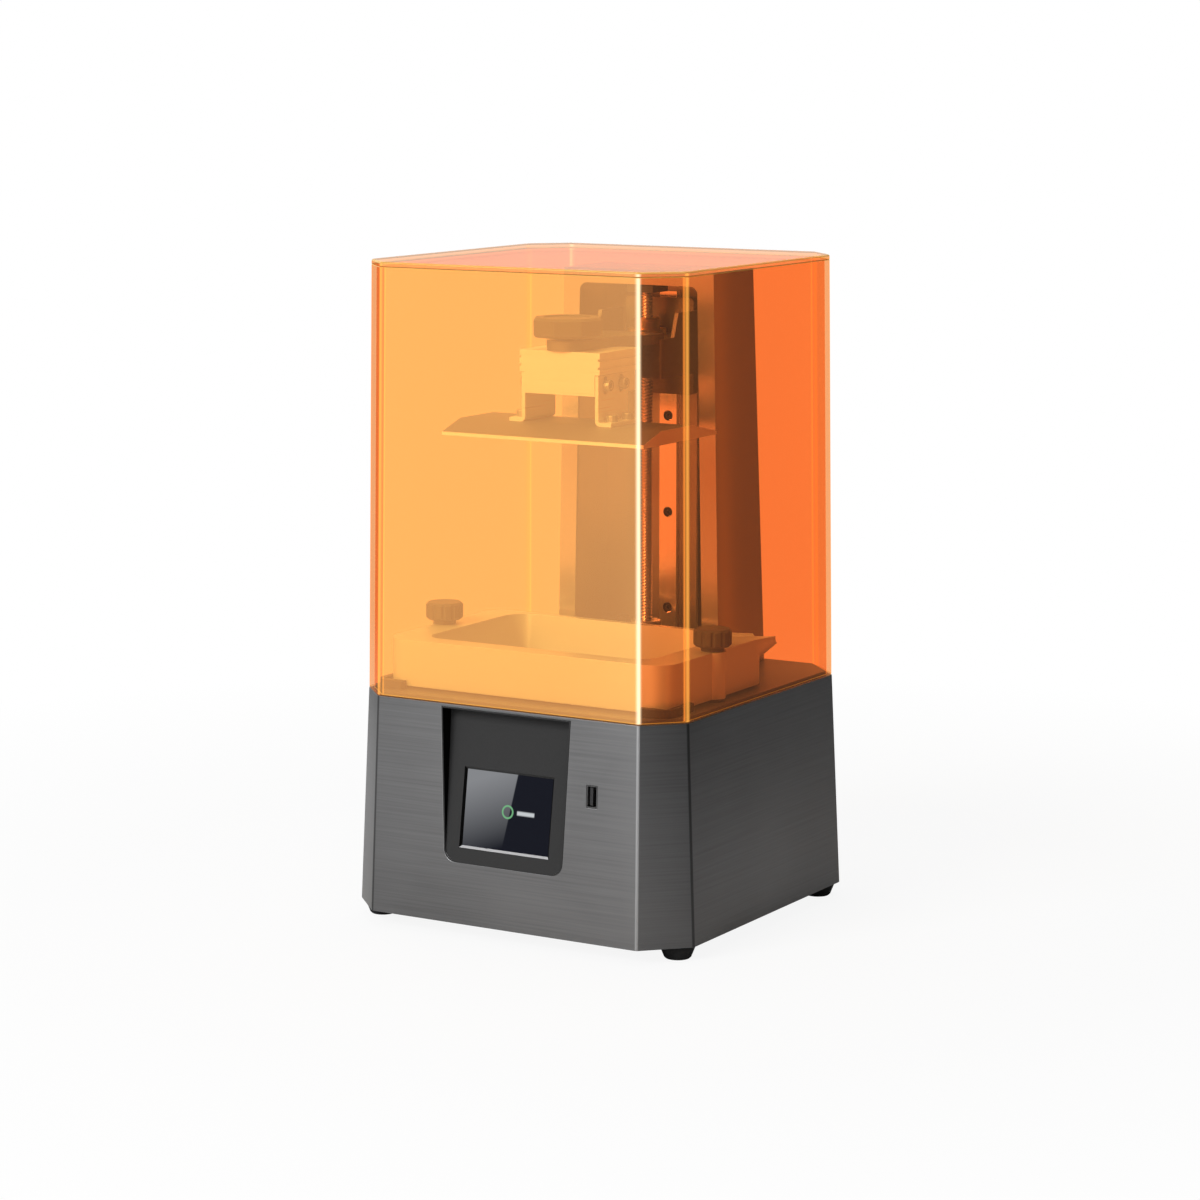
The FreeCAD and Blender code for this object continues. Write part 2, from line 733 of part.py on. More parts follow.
def fan_rotor():
    back = FAN_FACE - FAN_DEPTH + FAN_STRUT + 0.4
    length = FAN_DEPTH - FAN_STRUT - 1.4
    hub = rod(FAN_HUB, vec(FAN_X, back, FAN_Z), Y_AXIS, length)
    axle = rod(FAN_AXLE, vec(FAN_X, FAN_FACE - FAN_DEPTH, FAN_Z), Y_AXIS, FAN_STRUT + 2)
    sweep = rod(FAN_BORE - 1, vec(FAN_X, back, FAN_Z), Y_AXIS, length)
    blades = []
    for index in range(FAN_BLADES):
        blade = box(-0.8, 0.8, -length, length, 9, FAN_BORE + 2)
        blade.rotate(vec(0, 0, 0), Z_AXIS, 42)
        blade.rotate(vec(0, 0, 0), Y_AXIS, index * 360 / FAN_BLADES)
        blade.translate(vec(FAN_X, back + length / 2, FAN_Z))
        blades.append(blade.common(sweep))
    return joined(hub, axle, *blades)


def fan_guard():
    # Ring grille flush with the rear wall, on a wedge that fills the gap to the fan
    half = FAN_SIZE / 2
    outside = base_half(BASE_Z) + 1
    wedge = box(FAN_X - half, FAN_X + half, FAN_FACE, outside, FAN_Z - half, FAN_Z + half)
    wedge = wedge.common(base_core(HOUSING_WALL, BASE_Z, SEAM_Z))
    disc = rod(GUARD_RADIUS, vec(FAN_X, FAN_FACE, FAN_Z), Y_AXIS, outside - FAN_FACE)
    disc = disc.common(base_core(0, BASE_Z, SEAM_Z))
    guard = joined(wedge, disc)
    start = vec(FAN_X, FAN_FACE - OVERCUT, FAN_Z)
    depth = outside - FAN_FACE + 2
    rings = []
    for inner in GUARD_RINGS:
        ring = rod(inner + GUARD_SLOT, start, Y_AXIS, depth).cut(rod(inner, start, Y_AXIS, depth))
        rings.append(ring)
    spokes = []
    for turn in (45, 135):
        spoke = box(-1.6, 1.6, FAN_FACE - 2, outside + 2, -half, half)
        spoke.rotate(vec(0, 0, 0), Y_AXIS, turn)
        spoke.translate(vec(FAN_X, 0, FAN_Z))
        spokes.append(spoke)
    openings = rings[0].multiFuse(rings[1:]).cut(spokes)
    return guard.cut(openings)


def switch_hole(clear):
    return box(
        SWITCH_X - SWITCH_WIDTH / 2 - clear, SWITCH_X + SWITCH_WIDTH / 2 + clear,
        base_half(POWER_Z) - 5, base_half(BASE_Z) + 2,
        POWER_Z - SWITCH_HEIGHT / 2 - clear, POWER_Z + SWITCH_HEIGHT / 2 + clear)


def power_switch():
    outside = base_half(BASE_Z)
    half_x = SWITCH_WIDTH / 2
    half_z = SWITCH_HEIGHT / 2
    body = box(
        SWITCH_X - half_x, SWITCH_X + half_x, outside - 1.2 - SWITCH_DEPTH, outside,
        POWER_Z - half_z, POWER_Z + half_z)
    bezel = box(
        SWITCH_X - half_x - 1, SWITCH_X + half_x + 1, outside - 3, outside,
        POWER_Z - half_z - 1, POWER_Z + half_z + 1).cut(base_core(0, BASE_Z, SEAM_Z))
    well = box(
        SWITCH_X - 5.3, SWITCH_X + 5.3, outside - 10, outside + 1, POWER_Z - 8.2, POWER_Z + 8.2)
    pivot = rod(ROCKER_PIN + RUNNING_FIT, vec(SWITCH_X - 6, ROCKER_PIVOT, POWER_Z), X_AXIS, 12)
    return joined(body, bezel).cut([well, pivot])


def power_rocker():
    # Rocker with two flats, tipped to its off side, on stub pins
    face = base_half(BASE_Z) - 1.3
    key = side_profile([
        (ROCKER_PIVOT - 2.5, POWER_Z - 4), (face, POWER_Z - 7.4), (face - 1.2, POWER_Z),
        (face, POWER_Z + 7.4), (ROCKER_PIVOT - 2.5, POWER_Z + 4),
    ], 5.0)
    key.translate(vec(SWITCH_X, 0, 0))
    pins = rod(ROCKER_PIN, vec(SWITCH_X - 5.8, ROCKER_PIVOT, POWER_Z), X_AXIS, 11.6)
    rocker = joined(key, pins)
    rocker.rotate(vec(SWITCH_X, ROCKER_PIVOT, POWER_Z), X_AXIS, ROCKER_TILT)
    return rocker


def power_inlet():
    outside = base_half(BASE_Z)
    barrel = rod(INLET_RADIUS, vec(INLET_X, outside - 16, POWER_Z), Y_AXIS, 15.2)
    collar = rod(INLET_RADIUS + 1.5, vec(INLET_X, outside - 4, POWER_Z), Y_AXIS, 3.2)
    collar = collar.cut(base_core(0, BASE_Z, SEAM_Z))
    bore = rod(INLET_BORE, vec(INLET_X, outside - 11, POWER_Z), Y_AXIS, 12)
    pin = rod(INLET_PIN, vec(INLET_X, outside - 12, POWER_Z), Y_AXIS, 9)
    return joined(joined(barrel, collar).cut(bore), pin)


# Column and Z drive

def column_half(z):
    return between(COLUMN_HALF_BOTTOM, COLUMN_HALF_TOP, (z - DECK_Z) / (COLUMN_TOP - DECK_Z))


def column_rear(z):
    return between(COLUMN_REAR_BOTTOM, COLUMN_REAR_TOP, (z - DECK_Z) / (COLUMN_TOP - DECK_Z))


def column_core(inset, z0, z1):
    wires = []
    for z in (z0, z1):
        half = column_half(z) - inset
        wires.append(rectangle(-half, half, COLUMN_FRONT + inset, column_rear(z) - inset, z, 0))
    return Part.makeLoft(wires, True, True)


def column():
    # Folded box with a tall window, so that the rail and the screw can be reached
    shell = column_core(0, DECK_Z, COLUMN_TOP)
    shell = shell.cut(column_core(COLUMN_SHEET, COLUMN_FLOOR, COLUMN_TOP - COLUMN_SHEET))
    low = column_half(COLUMN_FLOOR) - WINDOW_MARGIN
    high = column_half(WINDOW_TOP) - WINDOW_MARGIN
    front = COLUMN_FRONT - OVERCUT
    corners = [
        vec(-low, front, COLUMN_FLOOR), vec(low, front, COLUMN_FLOOR),
        vec(high, front, WINDOW_TOP), vec(-high, front, WINDOW_TOP),
    ]
    window = Part.Face(rounded_wire(corners, [0, 0, WINDOW_ROUND, WINDOW_ROUND])).extrude(Y_AXIS * 4)
    bottom = DECK_Z - OVERCUT
    top = COLUMN_FLOOR + OVERCUT
    pilot = upright(MOTOR_PILOT + LOOSE_FIT, 0, SCREW_Y, bottom, top)
    return shell.cut([window, pilot, motor_bolts(BOLT_RADIUS + RUNNING_FIT, bottom, top)])


def rail_plate():
    back = RAIL_FACE + RAIL_HEIGHT
    top = COLUMN_TOP - COLUMN_SHEET
    return box(-RAIL_PLATE_HALF, RAIL_PLATE_HALF, back, back + RAIL_PLATE_THICK, COLUMN_FLOOR, top)


def rail_holes():
    return [RAIL_FIRST_HOLE + index * RAIL_PITCH for index in range(RAIL_HOLES)]


def linear_rail():
    # Hardened rail with ball grooves along its sides and counterbored holes
    half = RAIL_WIDTH / 2
    back = RAIL_FACE + RAIL_HEIGHT
    waist = half - 1.1
    side = [
        (half, back), (half, back - 3.4), (waist, back - 4.4), (waist, back - 5.4), (half, back - 6.4),
        (half, RAIL_FACE),
    ]
    outline = side + [(-x, y) for x, y in reversed(side)]
    rail = prism([vec(x, y, RAIL_BOTTOM) for x, y in outline], Z_AXIS * (RAIL_TOP - RAIL_BOTTOM))
    cuts = []
    for z in rail_holes():
        mouth = vec(0, RAIL_FACE - OVERCUT, z)
        cuts.append(rod(RAIL_COUNTERBORE, mouth, Y_AXIS, 5.5))
        cuts.append(rod(RAIL_HOLE, mouth, Y_AXIS, RAIL_HEIGHT + 2))
    return rail.cut(cuts)


def rail_screws():
    screws = []
    for z in rail_holes():
        head = rod(BOLT_HEAD, vec(0, RAIL_FACE + 1.5, z), Y_AXIS, 3)
        shank = rod(BOLT_RADIUS, vec(0, RAIL_FACE + 4.5, z), Y_AXIS, RAIL_HEIGHT - 4.5)
        socket = hexagon(1.3, vec(0, RAIL_FACE + 1, z), Y_AXIS, 2)
        screws.append(joined(head, shank).cut(socket))
    return Part.makeCompound(screws)


def hexagon(radius, start, axis, depth):
    # Six-sided socket along any axis
    side = axis.cross(vec(axis.z, axis.x, axis.y)).normalize()
    other = axis.cross(side)
    corners = []
    for index in range(6):
        turn = math.radians(60 * index)
        corners.append(start + side * (radius * math.cos(turn)) + other * (radius * math.sin(turn)))
    return prism(corners, axis * depth)


def motor_bolts(radius, z0, z1):
    group = corner_pattern(upright(radius, 0, 0, z0, z1), MOTOR_BOLT_SPACING, MOTOR_BOLT_SPACING)
    group.translate(vec(0, SCREW_Y, 0))
    return group


def motor_screws():
    # The front pair sits on the deck and the rear pair on the column's floor
    screws = []
    for end, seat in ((-1, DECK_Z), (1, COLUMN_FLOOR)):
        y = SCREW_Y + end * MOTOR_BOLT_SPACING
        for side in (-1, 1):
            x = side * MOTOR_BOLT_SPACING
            shank = upright(BOLT_RADIUS, x, y, DECK_UNDER - 5, seat)
            head = upright(BOLT_HEAD, x, y, seat, seat + BOLT_HEAD_HEIGHT)
            screws.append(joined(shank, head))
    return Part.makeCompound(screws)


def z_motor():
    # Stepper motor: end bells slightly larger than the laminated middle
    half = MOTOR_SIDE / 2
    low = DECK_UNDER - MOTOR_LENGTH

    def layer(inset, corner, z0, z1):
        side = half - inset
        wire = octagon(side, corner, z0)
        piece = Part.Face(wire).extrude(Z_AXIS * (z1 - z0))
        piece.translate(vec(0, SCREW_Y, 0))
        return piece

    bell = 9.0
    middle = layer(0.5, MOTOR_CORNER + 2, low + bell, DECK_UNDER - bell)
    lower = layer(0, MOTOR_CORNER, low, low + bell)
    upper = layer(0, MOTOR_CORNER, DECK_UNDER - bell, DECK_UNDER)
    pilot = upright(MOTOR_PILOT, 0, SCREW_Y, DECK_UNDER, DECK_UNDER + 2)
    motor = joined(middle, lower, upper, pilot)
    bore = upright(SHAFT_RADIUS + RUNNING_FIT, 0, SCREW_Y, low + 6, DECK_UNDER + 3)
    return motor.cut([bore, motor_bolts(BOLT_RADIUS + RUNNING_FIT, DECK_UNDER - 6, DECK_UNDER + OVERCUT)])


def motor_shaft():
    return upright(SHAFT_RADIUS, 0, SCREW_Y, DECK_UNDER - MOTOR_LENGTH + 6.5, COUPLER_MIDDLE - 0.5)


def shaft_coupler():
    # Turned sleeve with relief grooves, bored for the shaft below and the screw above
    grip = COUPLER_RADIUS
    waist = COUPLER_RADIUS - 2
    profile = [(0, COUPLER_Z), (grip - 0.8, COUPLER_Z), (grip, COUPLER_Z + 0.8)]
    for offset in (-2.6, 2.6):
        z = COUPLER_MIDDLE + offset
        profile += [(grip, z - 0.6), (waist, z - 0.6), (waist, z + 0.6), (grip, z + 0.6)]
    profile += [(grip, COUPLER_TOP - 0.8), (grip - 0.8, COUPLER_TOP), (0, COUPLER_TOP)]
    sleeve = revolved(profile, 0, SCREW_Y)
    lower = upright(SHAFT_RADIUS + PRESS_FIT, 0, SCREW_Y, COUPLER_Z - OVERCUT, COUPLER_MIDDLE)
    upper = upright(SCREW_RADIUS + PRESS_FIT, 0, SCREW_Y, COUPLER_MIDDLE, COUPLER_TOP + OVERCUT)
    return sleeve.cut([lower, upper])


def lead_screw():
    tip = 0.8
    return revolved([
        (0, COUPLER_MIDDLE + 0.5), (SCREW_RADIUS - tip, COUPLER_MIDDLE + 0.5),
        (SCREW_RADIUS, COUPLER_MIDDLE + 0.5 + tip), (SCREW_RADIUS, SCREW_TOP - tip),
        (SCREW_RADIUS - tip, SCREW_TOP), (0, SCREW_TOP),
    ], 0, SCREW_Y)


def screw_top_bearing():
    under = COLUMN_TOP - COLUMN_SHEET
    block = slab(-15, 15, COLUMN_FRONT + COLUMN_SHEET + LOOSE_FIT, SCREW_Y + 10, SCREW_TOP - 6, under, 3)
    relief = box(-16, -9, COLUMN_FRONT, SCREW_Y + 11, SCREW_TOP - 7, SCREW_TOP + 2)
    mirrored = relief.mirror(vec(0, 0, 0), X_AXIS)
    bore = upright(SCREW_RADIUS + RUNNING_FIT, 0, SCREW_Y, SCREW_TOP - 7, SCREW_TOP + 1)
    return block.cut([relief, mirrored, bore])


def limit_sensor():
    # Fork-shaped light gate on the column floor
    body = box(-37, -27, 60, 79, COLUMN_FLOOR, COLUMN_FLOOR + 22)
    slot = box(-38, -26, 66, 73.5, COLUMN_FLOOR + 5, COLUMN_FLOOR + 23)
    return body.cut(slot)


# Carriage, arm and build platform

def rail_block():
    half = BLOCK_WIDTH / 2
    middle = (CARRIAGE_BOTTOM + CARRIAGE_TOP) / 2
    low = middle - BLOCK_LENGTH / 2 + BLOCK_END
    high = middle + BLOCK_LENGTH / 2 - BLOCK_END
    body = box(-half, half, BLOCK_FACE, RAIL_FACE + 5, low, high)
    return body.cut(rail_slot(low, high))


def rail_slot(low, high):
    half = RAIL_WIDTH / 2 + LOOSE_FIT
    return box(-half, half, RAIL_FACE - LOOSE_FIT, RAIL_FACE + RAIL_HEIGHT, low - OVERCUT, high + OVERCUT)


def rail_block_ends():
    half = BLOCK_WIDTH / 2 - 0.6
    middle = (CARRIAGE_BOTTOM + CARRIAGE_TOP) / 2
    reach = BLOCK_LENGTH / 2
    ends = []
    for low in (middle - reach, middle + reach - BLOCK_END):
        high = low + BLOCK_END
        end = box(-half, half, BLOCK_FACE + 0.8, RAIL_FACE + 4.6, low, high)
        ends.append(end.cut(rail_slot(low, high)))
    return Part.makeCompound(ends)


def carriage_plate():
    corners = [
        vec(-CARRIAGE_HALF, BLOCK_FACE, CARRIAGE_BOTTOM), vec(CARRIAGE_HALF, BLOCK_FACE, CARRIAGE_BOTTOM),
        vec(CARRIAGE_HALF, BLOCK_FACE, CARRIAGE_TOP), vec(-CARRIAGE_HALF, BLOCK_FACE, CARRIAGE_TOP),
    ]
    return prism(corners, Y_AXIS * -CARRIAGE_THICK, 3)


def limit_flag():
    # Thin vane that dips into the light gate at the bottom of the travel
    low = CARRIAGE_BOTTOM - FLAG_DROP
    high = CARRIAGE_BOTTOM + FLAG_LAP
    front = BLOCK_FACE - CARRIAGE_THICK + 1.2
    return box(-CARRIAGE_HALF - FLAG_REACH, -CARRIAGE_HALF, front, front + FLAG_THICK, low, high)


def carriage_arm():
    # Box-shaped arm with two cheeks, drawn out to a flat tongue over the platform
    back = BLOCK_FACE - CARRIAGE_THICK
    block = slab(-ARM_HALF, ARM_HALF, ARM_FRONT, back, ARM_BOTTOM, ARM_TOP, 2)
    cheeks = []
    for side in (-1, 1):
        outer = side * ARM_HALF
        corners = [
            vec(outer, ARM_FRONT + 14, ARM_TOP - 2), vec(outer, back, ARM_TOP - 2),
            vec(outer, back, CHEEK_TOP), vec(outer, ARM_FRONT + 20, CHEEK_TOP),
        ]
        cheeks.append(prism(corners, X_AXIS * (-side * CHEEK_THICK)))
    tip = KNOB_Y - TONGUE_HALF
    corners = [
        vec(-ARM_HALF + 2, ARM_FRONT + 6, TONGUE_BOTTOM),
        vec(-ARM_HALF + 2, ARM_FRONT - 8, TONGUE_BOTTOM),
        vec(-TONGUE_HALF, HEAD_REAR - 4, TONGUE_BOTTOM), vec(-TONGUE_HALF, tip, TONGUE_BOTTOM),
        vec(TONGUE_HALF, tip, TONGUE_BOTTOM), vec(TONGUE_HALF, HEAD_REAR - 4, TONGUE_BOTTOM),
        vec(ARM_HALF - 2, ARM_FRONT - 8, TONGUE_BOTTOM), vec(ARM_HALF - 2, ARM_FRONT + 6, TONGUE_BOTTOM),
    ]
    radii = [0, 4, 8, TONGUE_HALF - 1, TONGUE_HALF - 1, 8, 4, 0]
    tongue = Part.Face(rounded_wire(corners, radii)).extrude(Z_AXIS * TONGUE_THICK)
    arm = joined(block, tongue, *cheeks)
    nut_bore = upright(NUT_RADIUS, 0, SCREW_Y, ARM_BOTTOM - OVERCUT, ARM_TOP + OVERCUT)
    stud_hole = upright(STUD_RADIUS + BODY_GAP, 0, KNOB_Y, TONGUE_BOTTOM - OVERCUT, TONGUE_TOP + OVERCUT)
    return arm.cut([nut_bore, stud_hole])


def lead_nut():
    # Flanged nut with a spring collar above
    profile = [
        (0, ARM_BOTTOM), (NUT_RADIUS - 0.05, ARM_BOTTOM), (NUT_RADIUS - 0.05, ARM_TOP),
        (NUT_FLANGE, ARM_TOP),
        (NUT_FLANGE, ARM_TOP + 3.5), (8, ARM_TOP + 3.5), (8, ARM_TOP + 9.5), (7, ARM_TOP + 10.5),
        (0, ARM_TOP + 10.5),
    ]
    bore = upright(SCREW_RADIUS + RUNNING_FIT, 0, SCREW_Y, ARM_BOTTOM - OVERCUT, ARM_TOP + 12)
    return revolved(profile, 0, SCREW_Y).cut(bore)


def platform_block():
    # Extruded head, wider above, with grooves along both sides
    step_z = HEAD_BOTTOM + HEAD_STEP
    top = TONGUE_BOTTOM
    groove = 1.2
    edge = [(HEAD_STEP_HALF, HEAD_BOTTOM), (HEAD_STEP_HALF, step_z), (HEAD_HALF, step_z)]
    for z in (step_z + 3.2, step_z + 8.0):
        floor = HEAD_HALF - groove
        edge += [(HEAD_HALF, z), (floor, z), (floor, z + 1.6), (HEAD_HALF, z + 1.6)]
    edge.append((HEAD_HALF, top))
    outline = edge + [(-x, z) for x, z in reversed(edge)]
    block = prism([vec(x, HEAD_FRONT, z) for x, z in outline], Y_AXIS * (HEAD_REAR - HEAD_FRONT))
    cuts = [upright(STUD_RADIUS + RUNNING_FIT, 0, KNOB_Y, top - STUD_DEPTH - 1, top + OVERCUT)]
    for y in HANGER_SCREW_Y:
        for side in (-1, 1):
            mouth = vec(side * HEAD_HALF, y, HANGER_SCREW_Z)
            cuts.append(rod(SCREW_SHANK + RUNNING_FIT, mouth, X_AXIS * -side, HEAD_HALF - 14))
    return block.cut(cuts)


def hanger(side):
    # Angle bracket beside the head, slotted so that the plate can be levelled
    inner = HEAD_STEP_HALF
    outer = inner + HANGER_THICK
    top = HEAD_BOTTOM + HEAD_STEP - 0.4
    corners = [
        vec(inner, HANGER_FRONT, PLATE_TOP), vec(inner + HANGER_FOOT, HANGER_FRONT, PLATE_TOP),
        vec(inner + HANGER_FOOT, HANGER_FRONT, PLATE_TOP + HANGER_THICK),
        vec(outer, HANGER_FRONT, PLATE_TOP + HANGER_THICK), vec(outer, HANGER_FRONT, top),
        vec(inner, HANGER_FRONT, top),
    ]
    radii = [3.0, 0, 0, 0.7, 0, 0]
    angle = Part.Face(rounded_wire(corners, radii)).extrude(Y_AXIS * (HANGER_REAR - HANGER_FRONT))
    cuts = []
    for y in HANGER_SCREW_Y:
        cuts.append(slot_along_x(inner - 1, outer + 1, y, HANGER_SCREW_Z, 2.3, 3.0))
        cuts.append(upright(SCREW_SHANK + RUNNING_FIT, FOOT_SCREW_X, y, PLATE_TOP - 1, PLATE_TOP + 5))
    angle = angle.cut(cuts)
    if side < 0:
        angle = angle.mirror(vec(0, 0, 0), X_AXIS)
    return angle


def slot_along_x(x0, x1, y, z, radius, reach):
    corners = [
        vec(x0, y - radius, z - radius - reach), vec(x0, y + radius, z - radius - reach),
        vec(x0, y + radius, z + radius + reach), vec(x0, y - radius, z + radius + reach),
    ]
    return prism(corners, X_AXIS * (x1 - x0), radius - 0.01)


def bracket_left():
    return hanger(-1)


def bracket_right():
    return hanger(1)


def cap_screw(start, axis, reach):
    # Cap screw with its head outside the start point and its shank along the axis
    head = rod(SCREW_HEAD, start - axis * SCREW_HEAD_HEIGHT, axis, SCREW_HEAD_HEIGHT)
    shank = rod(SCREW_SHANK, start, axis, reach)
    socket = hexagon(SCREW_SOCKET, start - axis * SCREW_HEAD_HEIGHT, axis, SCREW_HEAD_HEIGHT / 2)
    return joined(head, shank).cut(socket)


def bracket_screws():
    face = HEAD_STEP_HALF + HANGER_THICK
    screws = []
    for y in HANGER_SCREW_Y:
        screws.append(cap_screw(vec(face, y, HANGER_SCREW_Z), X_AXIS * -1, 11))
        screws.append(cap_screw(vec(-face, y, HANGER_SCREW_Z), X_AXIS, 11))
    return Part.makeCompound(screws)


def plate_screws():
    screws = []
    for x in (-FOOT_SCREW_X, FOOT_SCREW_X):
        for y in HANGER_SCREW_Y:
            screws.append(cap_screw(vec(x, y, PLATE_TOP + HANGER_THICK), Z_AXIS * -1, 7))
    return Part.makeCompound(screws)


def build_plate():
    # Flat below, with a raised flat above that slopes down to the front and the rear
    low = PLATE_BOTTOM
    plate = side_profile([
        (PLATE_FRONT, low), (PLATE_REAR, low), (PLATE_REAR, low + PLATE_EDGE),
        (PLATE_FLAT_REAR, PLATE_TOP),
        (PLATE_FLAT_FRONT, PLATE_TOP), (PLATE_FRONT, low + PLATE_EDGE),
    ], PLATE_HALF)
    holes = []
    for x in (-FOOT_SCREW_X, FOOT_SCREW_X):
        for y in HANGER_SCREW_Y:
            holes.append(upright(SCREW_SHANK + RUNNING_FIT, x, y, PLATE_TOP - 5, PLATE_TOP + OVERCUT))
    return plate.cut(holes)


def platform_knob():
    # Eight-sided hand knob with bevelled edges on a round hub
    low = TONGUE_TOP + BODY_GAP
    body_low = low + KNOB_LIFT
    top = body_low + KNOB_HEIGHT
    bevel = KNOB_BEVEL

    def ring(radius, z):
        corners = []
        for index in range(8):
            turn = math.radians(45 * index + 8)
            corners.append(vec(radius * math.cos(turn), KNOB_Y + radius * math.sin(turn), z))
        return Part.makePolygon(corners + corners[:1])

    layers = [
        ring(KNOB_RADIUS - bevel, body_low), ring(KNOB_RADIUS, body_low + bevel),
        ring(KNOB_RADIUS, top - bevel), ring(KNOB_RADIUS - bevel, top),
    ]
    body = Part.makeLoft(layers, True, True)
    hub = upright(KNOB_HUB, 0, KNOB_Y, low, body_low)
    dish = upright(KNOB_DISH, 0, KNOB_Y, top - 0.8, top + OVERCUT)
    return joined(body, hub).cut(dish)


def platform_stud():
    low = TONGUE_TOP + BODY_GAP
    return upright(STUD_RADIUS, 0, KNOB_Y, TONGUE_BOTTOM - STUD_DEPTH, low)


# Vat with its film, guides and thumb screws

def vat():
    # Moulded tray: wide rim, drafted tank open below, pouring lip at a rear corner
    body = slab(-VAT_HALF, VAT_HALF, VAT_FRONT, VAT_REAR, VAT_FLOOR, VAT_TOP, VAT_ROUND)
    bosses = [upright(BOSS_RADIUS, side * THUMB_X, THUMB_Y, VAT_FLOOR, VAT_TOP) for side in (-1, 1)]
    body = joined(body, pouring_lip(), *bosses)
    low = rectangle(-TANK_HALF, TANK_HALF, TANK_FRONT, TANK_REAR, VAT_FLOOR, TANK_ROUND)
    high = rectangle(
        -TANK_HALF - TANK_DRAFT, TANK_HALF + TANK_DRAFT, TANK_FRONT - TANK_DRAFT, TANK_REAR + TANK_DRAFT,
        VAT_TOP, TANK_ROUND + TANK_DRAFT)
    tank = Part.makeLoft([low, high], True, True)
    spout_start = vec(TANK_HALF - 6, TANK_REAR - 6, VAT_TOP + 1.5)
    spout = rod(5, spout_start, (lip_tip() - spout_start).normalize(), 60)
    hole = upright(THUMB_STUD + BODY_GAP, THUMB_X, THUMB_Y, VAT_FLOOR - OVERCUT, VAT_TOP + OVERCUT)
    holes = [hole, hole.mirror(vec(0, 0, 0), X_AXIS)]
    return body.cut([tank, spout] + holes)


def lip_tip():
    return vec(LIP_TIP_X, LIP_TIP_Y, VAT_TOP)


def pouring_lip():
    wires = []
    for z, reach in ((VAT_TOP, 1.0), (VAT_TOP - 3, 0.9), (VAT_TOP - 14, 0.05)):
        corner = vec(VAT_HALF - 5, VAT_REAR - 5, z)
        tip = corner + (lip_tip() - vec(VAT_HALF - 5, VAT_REAR - 5, VAT_TOP)) * reach
        corners = [vec(VAT_HALF - 26, VAT_REAR - 2, z), vec(VAT_HALF - 2, VAT_REAR - 26, z), tip]
        wires.append(Part.makePolygon(corners + corners[:1]))
    return Part.makeLoft(wires, True, True)


def vat_film():
    return slab(
        -TANK_HALF - 10, TANK_HALF + 10, TANK_FRONT - 10, TANK_REAR + 6, DECK_Z, DECK_Z + FILM_THICK, 6)


def film_frame():
    low = DECK_Z + FILM_THICK
    frame = slab(-TANK_HALF - 12, TANK_HALF + 12, TANK_FRONT - 12, TANK_REAR + 8, low, VAT_FLOOR, 7)
    opening = slab(
        -TANK_HALF, TANK_HALF, TANK_FRONT, TANK_REAR, low - OVERCUT, VAT_FLOOR + OVERCUT, TANK_ROUND)
    return frame.cut(opening)


def vat_guides():
    # Corner stops on the deck that locate the front of the vat
    guides = []
    for side in (-1, 1):
        x_in = VAT_HALF - GUIDE_LAP
        x_wall = VAT_HALF + BODY_GAP
        x_out = VAT_HALF + GUIDE_SIDE
        front = VAT_FRONT - GUIDE_FRONT
        y_wall = VAT_FRONT - BODY_GAP
        rear = VAT_FRONT + GUIDE_LENGTH
        corners = [
            vec(x_in, front, DECK_Z), vec(x_out, front, DECK_Z), vec(x_out, rear, DECK_Z),
            vec(x_wall, rear, DECK_Z), vec(x_wall, y_wall, DECK_Z), vec(x_in, y_wall, DECK_Z),
        ]
        radii = [1, 10, 1, 0, 0, 0]
        guide = Part.Face(rounded_wire(corners, radii)).extrude(Z_AXIS * GUIDE_HEIGHT)
        if side < 0:
            guide = guide.mirror(vec(0, 0, 0), X_AXIS)
        guides.append(guide)
    return Part.makeCompound(guides)


def vat_posts():
    posts = []
    for side in (-1, 1):
        x = side * THUMB_X
        post = upright(POST_RADIUS, x, THUMB_Y, DECK_Z, VAT_FLOOR)
        bore = upright(THUMB_STUD + RUNNING_FIT, x, THUMB_Y, DECK_Z - OVERCUT, VAT_FLOOR + OVERCUT)
        posts.append(post.cut(bore))
    return Part.makeCompound(posts)


def thumb_knob(x):
    # Fluted hand knob with bevelled ends on a plain collar
    collar_z = VAT_TOP + BODY_GAP
    low = collar_z + THUMB_LIFT
    top = low + THUMB_HEIGHT
    bevel = THUMB_BEVEL
    knob = revolved([
        (0, collar_z), (THUMB_COLLAR, collar_z), (THUMB_COLLAR, low), (THUMB_RADIUS - bevel, low),
        (THUMB_RADIUS, low + bevel), (THUMB_RADIUS, top - bevel), (THUMB_RADIUS - bevel, top), (0, top),
    ], x, THUMB_Y)
    flutes = []
    for index in range(THUMB_FLUTES):
        turn = 2 * math.pi * index / THUMB_FLUTES
        reach = THUMB_RADIUS + FLUTE_REACH
        flute_x = x + reach * math.cos(turn)
        flute_y = THUMB_Y + reach * math.sin(turn)
        flutes.append(upright(FLUTE_RADIUS, flute_x, flute_y, low - 0.1, top + OVERCUT))
    return knob.cut(flutes)


def thumb_stud(x):
    return upright(THUMB_STUD, x, THUMB_Y, DECK_UNDER - 6, VAT_TOP + BODY_GAP)


def vat_knob_left():
    return thumb_knob(-THUMB_X)


def vat_stud_left():
    return thumb_stud(-THUMB_X)


def vat_knob_right():
    return thumb_knob(THUMB_X)


def vat_stud_right():
    return thumb_stud(THUMB_X)


# Cover: four-sided hood with cut corners, top plate bonded to the walls

def cover_walls():
    under = TOP_Z - COVER_WALL
    return cover_core(0, COVER_Z, under).cut(cover_core(COVER_WALL, COVER_Z, under))


def cover_top():
    under = TOP_Z - COVER_WALL
    wires = [cover_wire(0, under), cover_wire(0, TOP_Z - COVER_BEVEL), cover_wire(COVER_BEVEL, TOP_Z)]
    return Part.makeLoft(wires, True, True)


